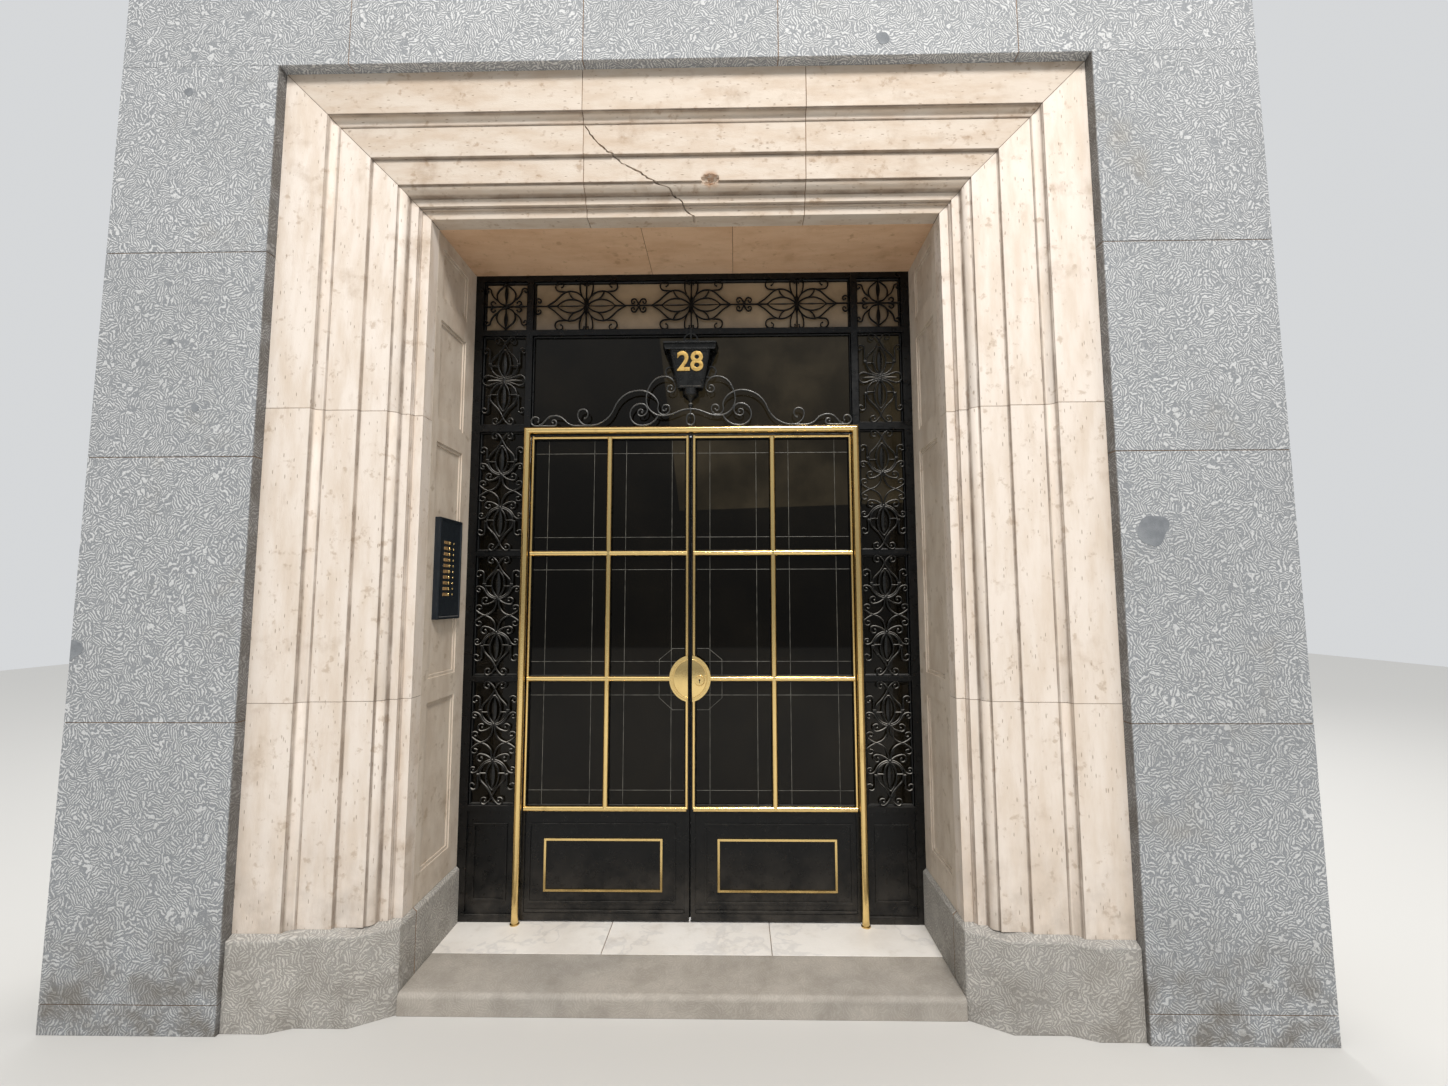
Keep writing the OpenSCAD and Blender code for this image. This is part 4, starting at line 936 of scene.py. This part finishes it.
def half_panel(half_w, half_h):
    """The upper half of a side panel: a bud with hooks on a wide sweep, scrolls under it."""
    foot = 88
    long = half_h - half_bar - tip_rise - foot
    r = bud_radius(long)
    sweep = r + beside
    sweep_l = 8 + (half_w - half_bar - 43.8 - sweep * sin(60)) / cos(60)
    half = hook(r, half_w, foot + r, 50) + [
        bent((0, foot - beside), 0, [(sweep, 60), (sweep_l, 0), (30, -60), (13.8, -180), (7, -170)]),
        bent((4, foot - 6), -50, [(80, 45), (17, 190), (9, 150)]),
        bent((4.5, foot - 8), -88, [(200, 8), (62, 65), ((half_w - 62) / 0.384, -25), (16, -190), (9, -150)])]
    return bud(foot, long) + mirrored(half)


def half_flower(half_w, half_h):
    """The upper half of a flower; the bow's straight part and last arc are worked out so that it
    meets the post level with the flower's middle."""
    base = 14
    long = half_h - half_bar - tip_rise - base
    bow_l = (half_w - half_bar - 62.73) / 1.42815
    half = hook(bud_radius(long), half_w, base + bud_radius(long), 70)
    half.append(bent((2, 4), 8, [(200, 12), (bow_l, 0), (15.026 + 0.36397 * bow_l, -110)], 1))
    return bud(base, long) + mirrored(half)


def side_light_work():
    """Three panels one over another, and a flower over them."""
    work, lights = [], [(low * 1000, high * 1000) for low, high in side_lights[:-1]]
    for low, high in lights[:-1]:
        work += moved(up_down(half_panel(side_half, (high - low) / 2)), side_middle, (low + high) / 2)
    low, high = lights[-1]
    flower = up_down(half_flower(side_half, (high - low) / 2)) + [knot(0, 0, 9)]
    flower += mirrored([leaf((0, 0), (92, 0), 6), knot(107, 0, 4)])
    return work + moved(flower, side_middle, (low + high) / 2)


def corner_flower():
    """A cross of two bars with leaves, and buds and scrolls between its arms."""
    rays = [bent((0, 8), 0, [(48, 90), (48, 50), (40.3, 0)], 1), knot(41.6, 32, 4),
            bent((41.6, 32), 36, [(15.6, 0), (60, 42), (10, 0), (14, -190), (7, -160)]),
            bent((66, 2), 40, [(10, 0), (11, 215)])]
    cross = [bent((-side_half, 0), 0, [(2 * side_half, 0)], 1),
             bent((0, -frieze_half), 90, [(2 * frieze_half, 0)], 1), knot(0, 0, 12)]
    return cross + mirrored([leaf((34, 0), (102, 0), 8)] + up_down(rays)) \
        + up_down([leaf((0, 20), (0, 116), 10), knot(0, 118.7, 5)])


def frieze_motif():
    """A stem with two buds lying to its sides and a lyre of four scrolls."""
    lean = (cos(120) - cos(138)) / (sin(120) - sin(138))
    base = 4
    long = motif_l - base
    r = min(long / 2.502, frieze_half * 0.72)
    side_r = (long - r - r * lean) / (sin(48) - (1 - cos(48)) * lean)
    neck = (r - side_r * (1 - cos(48))) / (sin(120) - sin(138))
    petal_r, petal_a = lens(motif_petal, 32)
    hook_x, hook_z = r - side_r * (1 - cos(20)), base + r + side_r * sin(20)
    curl = (frieze_half - half_bar - hook_x - 33 * cos(85)) / (1 + sin(85))
    half = [bent((0, base), 0, [(r, 90), (side_r, 48), (neck, -18)], 1),
            bent((3, base + 2), 90 - petal_a, [(petal_r, 2 * petal_a)], 0.8), knot(hook_x, hook_z, 4.5),
            bent((hook_x, hook_z), 85, [(33, 0), (curl, -190), (curl * 0.55, -150)]),
            bent((r - 2, base + r + 8), 190, [(0.75 * r, 50)], 0.8)]
    bud_work = mirrored(half) + [leaf((0, base - 2), (0, base + 2 * motif_petal + 2), 5), knot(0, motif_l, 6)]
    lyre_x, lyre_z = base + r * (1 - cos(41)), r * sin(41)
    rest = frieze_half - half_bar - 12 - lyre_z - 18 * sin(72) - 100 * cos(72)
    lyre = [knot(lyre_x, lyre_z, 4.5), bent((lyre_x, lyre_z), 72, [(18, 0), (100, 18), (rest, 0), (12, 195)])]
    stem = [bent((0, -frieze_half), 90, [(2 * frieze_half, 0)], 1), leaf((0, -60), (0, 60), 11)]
    return turned(bud_work, 1) + turned(bud_work, -1) + stem + mirrored(up_down(lyre))


def frieze_work():
    """Three motifs side by side, joined by rods and small scrolls."""
    tip, post = motif_petal * 2 + 6, 804
    work = []
    for i in (-1, 0, 1):
        work += moved(frieze_motif(), i * motif_pitch, 0)
    link = mirrored(up_down([knot(-9, -1, 4),
                             bent((-9, -1), 48, [(14, 0), (50, 22), (14, -190), (7, -160)])]))
    at_post = up_down([knot(-8, 2, 4), bent((-8, 2), 90, [(25, 0), (14, 190), (7, 160)])])
    rods = [bent((a, 0), 0, [(b - a, 0)], 1) for a, b in ((tip, motif_pitch / 2 - 8),
                                                          (motif_pitch / 2 + 8, motif_pitch - tip),
                                                          (motif_pitch + tip, post))]
    joins = mirrored(moved(link, motif_pitch / 2, 0) + moved(at_post, post, 0) + rods)
    return moved(work + joins, 0, frieze_middle)


def crest_work():
    """Long waves that rise to the lantern and run out in scrolls, on the head of the doors."""
    foot, low, rise = 2434, 3.8, 86
    half = [bent((0, rise), 180, [(152, 27.3), (152, -27.3), (82, -90), (148, -35), (78, -55), (56, -90),
                                  (25, -90), (18, -180), (9.5, -150)]),
            bent((-160, low + 81.4 * (1 - cos(68))), 248, [(81.4, -68), (10.5, 0), (55, -180), (31, -180),
                                                           (17, -180), (9, -150)]),
            bent((-505, low), 0, [(133, 70.6), (133, -70.6), (101, -58.6), (50, -45.8), (30, 205), (19, 180),
                                  (10, 150)]),
            bent((-505, low), 180, [(57, -90), (27, -90), (24, -160)]),
            collar((-515, 4.2), (-495, 4.2), 9), bent((-510, low), 180, [(59, 0)], 1),
            bent((-569, low), 180, [(71, -50.6), (71, 50.6), (52, 50), (18, 0), (40, -25), (8, 0)], 0.8),
            bent((-682, low), 180, [(88, 0)], 1), bent((-682, low), 0, [(15, 180), (8, 150)]),
            bent((-770, low), 180, [(24, -90), (22, -90), (16, -130)]),
            bent((0, low), 0, [(19, 80), (75, 20), (19, 80)], 1)]
    drop = [knot(0, rise, 9), bent((0, 60), 90, [(rise - 60, 0)], 1), leaf((0, 5), (0, 61), 4)]
    return moved(mirrored(half) + drop, 0, foot)


def add_leaf(shape, a, b, half_w, y, thick):
    """A forged leaf: a pointed lens with a ridge along its front."""
    a, b = Vector((a[0], 0, a[1])), Vector((b[0], 0, b[1]))
    sideways = (b - a).normalized().cross(Vector((0, 1, 0)))
    rings, count, ridge = [], 10, 0.12
    for i in range(1, count):
        t = i / count
        spread, middle = half_w * 4 * t * (1 - t), a.lerp(b, t)
        section = ((1, 0), (0, -thick / 2 - spread * ridge), (-1, 0), (0, thick / 2))
        rings.append([shape.verts.new(middle + sideways * sign * spread + Vector((0, y + depth, 0)))
                      for sign, depth in section])
    skin(shape, rings)
    for end, ring in ((a, rings[0]), (b, rings[-1][::-1])):
        tip = shape.verts.new(end + Vector((0, y, 0)))
        for i in range(4):
            shape.faces.new((ring[i - 1], ring[i], tip))


def smithwork(name, work, y, node, iron=forged_iron):
    """All the bars, balls, knots, leaves and collars of one grille, as one piece."""
    mm, ball_r, leaf_t, clasp_front, clasp_back = 0.001, 0.0048, 0.009, 0.0062, 0.0055
    paths, balls, knots, shape, clasps = [], [], [], bmesh.new(), bmesh.new()
    for kind, points, number in work:
        points = [(x * mm, z * mm) for x, z in points]
        if kind == "bar":
            paths.append((points, number))
            if number < 1:
                balls.append((*points[-1], ball_r))
        elif kind == "knot":
            knots.append((*points[0], number * mm))
        elif kind == "leaf":
            add_leaf(shape, *points, number * mm, y, leaf_t)
        else:
            (ax, az), (bx, bz) = points
            add_block(clasps, (min(ax, bx), y - clasp_front, az - number * mm / 2),
                      (max(ax, bx), y + clasp_back, bz + number * mm / 2))
    rounded(clasps, 0.0012)
    for mesh in (bars_of(paths, y, iron), heads_of(balls, y, iron, 1.0), heads_of(knots, y, iron, 0.72)):
        shape.from_mesh(mesh)
    block = bpy.data.meshes.new("clasps")
    clasps.to_mesh(block)
    shape.from_mesh(block)
    piece(name, shape, [iron], "portal", "black_iron", node, smooth=48)


light_work = side_light_work()
scroll_y, crest_y = [(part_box(node)[0][1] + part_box(node)[1][1]) / 2
                     for node in ("frieze_scrolls", "crest_scrolls")]
smithwork("scroll_grille_right", light_work, scroll_y, "side_scrolls_right")
smithwork("scroll_grille_left", copied(light_work, lambda x, z: (-x, z)), scroll_y, "side_scrolls_left")

# High up under the soffit the iron lies in shade: it is a blacker copy of the forged iron, with less of the
# pale upward faces and less shine, as painted shade
frieze_shaded_iron = ironwork("frieze_shaded_iron", "050505", "161615", 0.34, 0.5, 0.2)
corner_work = mirrored(moved(corner_flower(), side_middle, frieze_middle))
smithwork("corner_flowers", corner_work, scroll_y, "frieze_corners", frieze_shaded_iron)
smithwork("frieze_grille", frieze_work(), scroll_y, "frieze_scrolls", frieze_shaded_iron)

# The crest's iron is painted greyer than the rest, as a painted sheen where it catches the sky, and is given
# more shine
crest_sheen_iron = ironwork("crest_sheen_iron", "262726", "6c6c68", 0.24, 1.0, 0.9)
smithwork("crest_grille", crest_work(), crest_y, "crest_scrolls", crest_sheen_iron)


# ---------------------------------------------------------------- number lantern
# A flat-backed iron lantern stands on the crest under the transom and hangs from it by a rod
# and ring. Its front is a dark pane in an iron border, with gilt house numerals.

def joined(*meshes):
    """One shape of several plain meshes."""
    shape = bmesh.new()
    for mesh in meshes:
        shape.from_mesh(mesh)
    return shape


give(forged_iron, "number_lantern", "lantern_hanger")
low_z, high_z, low_y, high_y, low_half, high_half = 2.616, 2.806, 0.185, 0.167, 0.060, 0.095
pane_up = Vector((0, high_y - low_y, high_z - low_z)).normalized()
pane_out = Vector((0, -pane_up.z, pane_up.y))
pane_corners = [(-low_half, low_y, low_z), (low_half, low_y, low_z), (high_half, high_y, high_z),
                (-high_half, high_y, high_z)]
borders = bmesh.new()
moulding(borders, pane_corners, pane_out, [(0.001, 0), (0.001, 0.003), (0.003, 0.0045), (0.008, 0.0045),
                                           (0.010, 0.003), (0.010, 0)])
back_y, low_back, high_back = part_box("number_lantern")[1][1], 0.054, 0.125
for side in (-1, 1):
    cheek = [(side * low_half, low_y, low_z), (side * low_back, back_y, low_z),
             (side * high_back, back_y, high_z), (side * high_half, high_y, high_z)]
    a, b, c = Vector(cheek[0]), Vector(cheek[1]), Vector(cheek[3])
    cheek_out = (b - a).cross(c - a).normalized()
    cheek_out *= math.copysign(1, cheek_out.x * side)
    moulding(borders, cheek, cheek_out, [(0.001, 0), (0.001, 0.003), (0.007, 0.003), (0.007, 0)])
# The cornice over it: two flat bars, a little narrower in front
cornice_t, narrowed = 0.008, 0.94
for z, half, y, proud in ((2.8395, 0.133, 0.147, 0.006), (2.812, 0.126, 0.157, 0.004)):
    for v in add_block(borders, (-half - proud, y, z - cornice_t), (half + proud, back_y - 0.0005, z)):
        v.co.x *= narrowed if v.co.y < y + 0.001 else 1
piece("lantern_borders", borders, [forged_iron], "portal", "black_iron")

gilding = mottled("gilding", "f0c878", "b98b45", (60.0, 0.5, 0.75), 240.0, 0.0001, Roughness=0.34,
                  Metallic=0.85)
numerals = bpy.data.curves.new("numerals", "FONT")
numerals.body, numerals.size = "28", 0.132
numerals.align_x = numerals.align_y = "CENTER"
numerals.extrude, numerals.bevel_depth, numerals.offset = 0.0016, 0.0008, 0.0022
holder = bpy.data.objects.new("numerals", numerals)
scene.collection.objects.link(holder)
written = holder.evaluated_get(bpy.context.evaluated_depsgraph_get())
figures = joined(bpy.data.meshes.new_from_object(written))
bpy.data.objects.remove(holder)
share, proud = 0.66, 0.0022
pane_middle = Vector((0, low_y, low_z)).lerp(Vector((0, high_y, high_z)), share) + pane_out * proud
placing = Matrix((Vector((1, 0, 0)), pane_up, pane_out)).transposed().to_4x4()
figures.transform(Matrix.Translation(pane_middle) @ placing)
bmesh.ops.remove_doubles(figures, verts=figures.verts, dist=1e-6)
piece("house_numerals", figures, [gilding], "portal", "polished_brass", smooth=30)


# ---------------------------------------------------------------- cut lines in the glass
# Each door pane is cut with four thin lines that cross near its corners, and the panes at the
# push plates with an octagon round them. The lines are ground, so they look pale.
ground_glass = mottled("ground_glass", "74726a", "45443f", (30.0, 0.35, 0.7), 400.0, 0.0001, Roughness=0.4)
leaves = ((-1, "left"), (1, "right"))


def leaf_piece(name, side_name, shape, material, slot, smooth=0):
    """A piece of one of the two leaves, named after its side."""
    return piece(name + side_name, shape, [material], "leaf_" + side_name, slot, smooth=smooth)


(glass_in, glass_face, glass_low), (glass_out, _, glass_high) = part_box("leaf_glass_right")
glass_middle, bar_half = (glass_in + glass_out) / 2, 0.010
pane_columns = ((glass_in, glass_middle - bar_half), (glass_middle + bar_half, glass_out))
pane_rows = ((glass_low, rails[1] - bar_half), (rails[1] + bar_half, rails[2] - bar_half),
             (rails[2] + bar_half, glass_high))
line_inset, line_y, line_w, line_t, line_edge = 0.070, glass_face - 0.0004, 0.0020, 0.0009, 0.0002
cut_paths = []
for x0, x1 in pane_columns:
    for z0, z1 in pane_rows:
        cut_paths += [[(x, z0), (x, z1)] for x in (x0 + line_inset, x1 - line_inset)]
        cut_paths += [[(x0, z), (x1, z)] for z in (z0 + line_inset, z1 - line_inset)]
cut_paths += [[(0.026, 1.341), (0.087, 1.341), (0.152, 1.288), (0.152, 1.212)],
              [(0.026, 1.049), (0.087, 1.049), (0.152, 1.106), (0.152, 1.186)]]
for side, leaf_name in leaves:
    paths = [([(side * x, z) for x, z in line], 1) for line in cut_paths]
    cuts = joined(bars_of(paths, line_y, ground_glass, line_w, line_t, line_edge))
    leaf_piece("cut_lines_", leaf_name, cuts, ground_glass, "dark_glass")


# ---------------------------------------------------------------- door leaves' small ironwork
# Inside the brass the panes sit in slim iron beads. A weather bar runs along the foot of each
# kick panel, and a strip of black felt closes the gap between the meeting stiles, standing in for the shade
# in that gap.
# The felt seals the meeting gap and also gives it the dark of painted shade
gap_shade_felt = mottled("gap_shade_felt", "0b0b0b", "191816", (40.0, 0.35, 0.7), 500.0, 0.0004, Roughness=0.95)
(bar_in, panel_face, panel_low), (bar_out, _, _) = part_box("kick_panel_right")
bar_inset, bar_front, bar_back, bar_low, bar_high = 0.006, 0.004, 0.0055, 0.004, 0.012
(_, _, leaf_low), (_, leaf_back, leaf_high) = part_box("leaf_frame_right")
felt_in, felt_out, felt_front, felt_back, felt_inset = 0.0003, 0.006, 0.0095, 0.0015, 0.002
for side, leaf_name in leaves:
    trim = bmesh.new()
    for x0, x1 in pane_columns:
        for z0, z1 in pane_rows:
            across_pane = sorted((side * x0, side * x1))
            moulding(trim, upright_corners(across_pane, (z0, z1), glass_face), forwards,
                     [(0, 0), (0, 0.010), (0.003, 0.010), (0.006, 0)])
    ends = sorted((side * (bar_in + bar_inset), side * (bar_out - bar_inset)))
    add_block(trim, (ends[0], panel_face - bar_front, panel_low + bar_low),
              (ends[1], panel_face + bar_back, panel_low + bar_high))
    leaf_piece("iron_beads_", leaf_name, trim, black_enamel, "black_enamel")
    felt = bmesh.new()
    ends = sorted((side * felt_in, side * felt_out))
    add_block(felt, (ends[0], leaf_back - felt_front, leaf_low + felt_inset),
              (ends[1], leaf_back - felt_back, leaf_high - felt_inset))
    leaf_piece("meeting_felt_", leaf_name, felt, gap_shade_felt, "black_enamel")


# ---------------------------------------------------------------- lock and screws
# Countersunk brass screws hold the push plates, one half on each leaf. The right half carries
# the lock: a round brass escutcheon with a keyhole.
screw_places = [(0.028, 1.285), (0.028, 1.119), (0.078, 1.250), (0.078, 1.154)]
plate_y, screw_r = 0.2175, 0.0035
for side, leaf_name in leaves:
    screws = joined(heads_of([(side * x, z, screw_r) for x, z in screw_places], plate_y, polished_brass, 0.4))
    leaf_piece("plate_screws_", leaf_name, screws, polished_brass, "polished_brass", 40)

# Each half is a little domed inside a raised ring, and a round escutcheon sits on the right one
plate_x, plate_z, ring_r, lock_x, lock_z, lock_r = 0.013, 1.202, 0.094, 0.046, 1.192, 0.024
meeting, dome_rise, dome_t, reach, facets = 0.010, 0.007, 0.001, 10, 24
wire = (0.005, 0.003, 0.001)
for side, leaf_name in leaves:
    swing = math.degrees(math.acos((meeting + plate_x) / ring_r))
    arc = [(side * (ring_r * cos(a) - plate_x), plate_z + ring_r * sin(a))
           for a in (swing * (2 * i / facets - 1) for i in range(facets + 1))]
    dome, near = bmesh.new(), (side * meeting, plate_z)
    grid = [[dome.verts.new((near[0] + (x - near[0]) * t / reach, plate_y,
                             near[1] + (z - near[1]) * t / reach)) for x, z in arc]
            for t in range(1, reach + 1)]
    tip, back = [dome.verts.new((near[0], y, near[1])) for y in (plate_y, plate_y + dome_t)]
    for v in [tip] + [v for row in grid for v in row]:
        away = math.hypot(v.co.x + side * plate_x, v.co.z - plate_z) / ring_r
        v.co.y -= dome_rise * (1 - away ** 2)
    for j in range(facets):
        dome.faces.new((tip, grid[0][j], grid[0][j + 1]))
        dome.faces.new((back, grid[-1][j + 1], grid[-1][j]))
        for inner, outer in zip(grid, grid[1:]):
            dome.faces.new((inner[j], outer[j], outer[j + 1], inner[j + 1]))
    for j in (0, -1):
        dome.faces.new([tip] + [row[j] for row in grid] + [back])
    leaf_piece("plate_dome_", leaf_name, dome, polished_brass, "polished_brass", 50)
    rings = [bars_of([(arc, 1)], plate_y, polished_brass, *wire)]
    if side > 0:
        step = 360 / facets
        round_lock = [(lock_x + lock_r * cos(step * i), lock_z + lock_r * sin(step * i))
                      for i in range(facets + 1)]
        rings.append(bars_of([(round_lock, 1)], plate_y - 0.0045, polished_brass, *wire))
    leaf_piece("plate_ring_", leaf_name, joined(*rings), polished_brass, "polished_brass", 50)

# The keyhole in the middle of the escutcheon: a round hole over a slot
hole_y, hole_z, hole_r, slot_half, slot_l = 0.2072, lock_z + 0.004, 0.0042, 0.0015, 0.014
keyhole = joined(heads_of([(lock_x, hole_z, hole_r)], hole_y, black_enamel, 0.3))
add_block(keyhole, (lock_x - slot_half, hole_y - 0.0016, hole_z - slot_l),
          (lock_x + slot_half, hole_y + 0.0004, hole_z))
piece("keyhole", keyhole, [black_enamel], "leaf_right", "black_enamel")


# ---------------------------------------------------------------- bell plate
# A blue-black enamelled plate is let into the left reveal: a raised border, ten rows of brass
# bell buttons, each beside a small blank name strip and a tiny lamp.
blue_enamel = ironwork("blue_enamel", "1d242b", "39424a", 0.30, 0.3, 0.6)
give(blue_enamel, "bell_plate")
(_, bell_near, bell_low), (plate_face, bell_far, bell_high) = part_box("bell_plate")
plate_border = bmesh.new()
moulding(plate_border, [(plate_face, bell_near, bell_low), (plate_face, bell_far, bell_low),
                        (plate_face, bell_far, bell_high), (plate_face, bell_near, bell_high)], (1, 0, 0),
         [(0.002, 0), (0.002, 0.003), (0.010, 0.003), (0.013, 0)])
piece("bell_plate_border", plate_border, [blue_enamel], "portal", "black_enamel")
row_count, row_pitch, button_y, button_r, lamp_y, lamp_r = 10, 0.02588, 0.022, 0.0085, 0.060, 0.0055
bell_rows = [(bell_low + bell_high) / 2 + (row - (row_count - 1) / 2) * row_pitch for row in range(row_count)]
buttons = joined(heads_of([(y, z, r) for z in bell_rows for y, r in ((button_y, button_r), (lamp_y, lamp_r))],
                          0.0, polished_brass, 0.55))
# The heads are set facing forwards; a quarter turn faces them to the other reveal
buttons.transform(Matrix.Translation((plate_face, 0, 0)) @ Matrix.Rotation(math.pi / 2, 4, "Z"))
piece("bell_push_buttons", buttons, [polished_brass], "portal", "polished_brass", "bell_buttons", smooth=40)
card = mottled("name_card", "b08f62", "7b5f3c", (90.0, 0.35, 0.7), Roughness=0.45)
strip_near, strip_far, strip_half, strip_sunk, strip_proud = -0.034, 0.004, 0.007, 0.001, 0.0018
strips = bmesh.new()
for z in bell_rows:
    add_block(strips, (plate_face - strip_sunk, strip_near, z - strip_half),
              (plate_face + strip_proud, strip_far, z + strip_half))
rounded(strips, 0.0006)
piece("name_strips", strips, [card], "portal", "polished_brass")
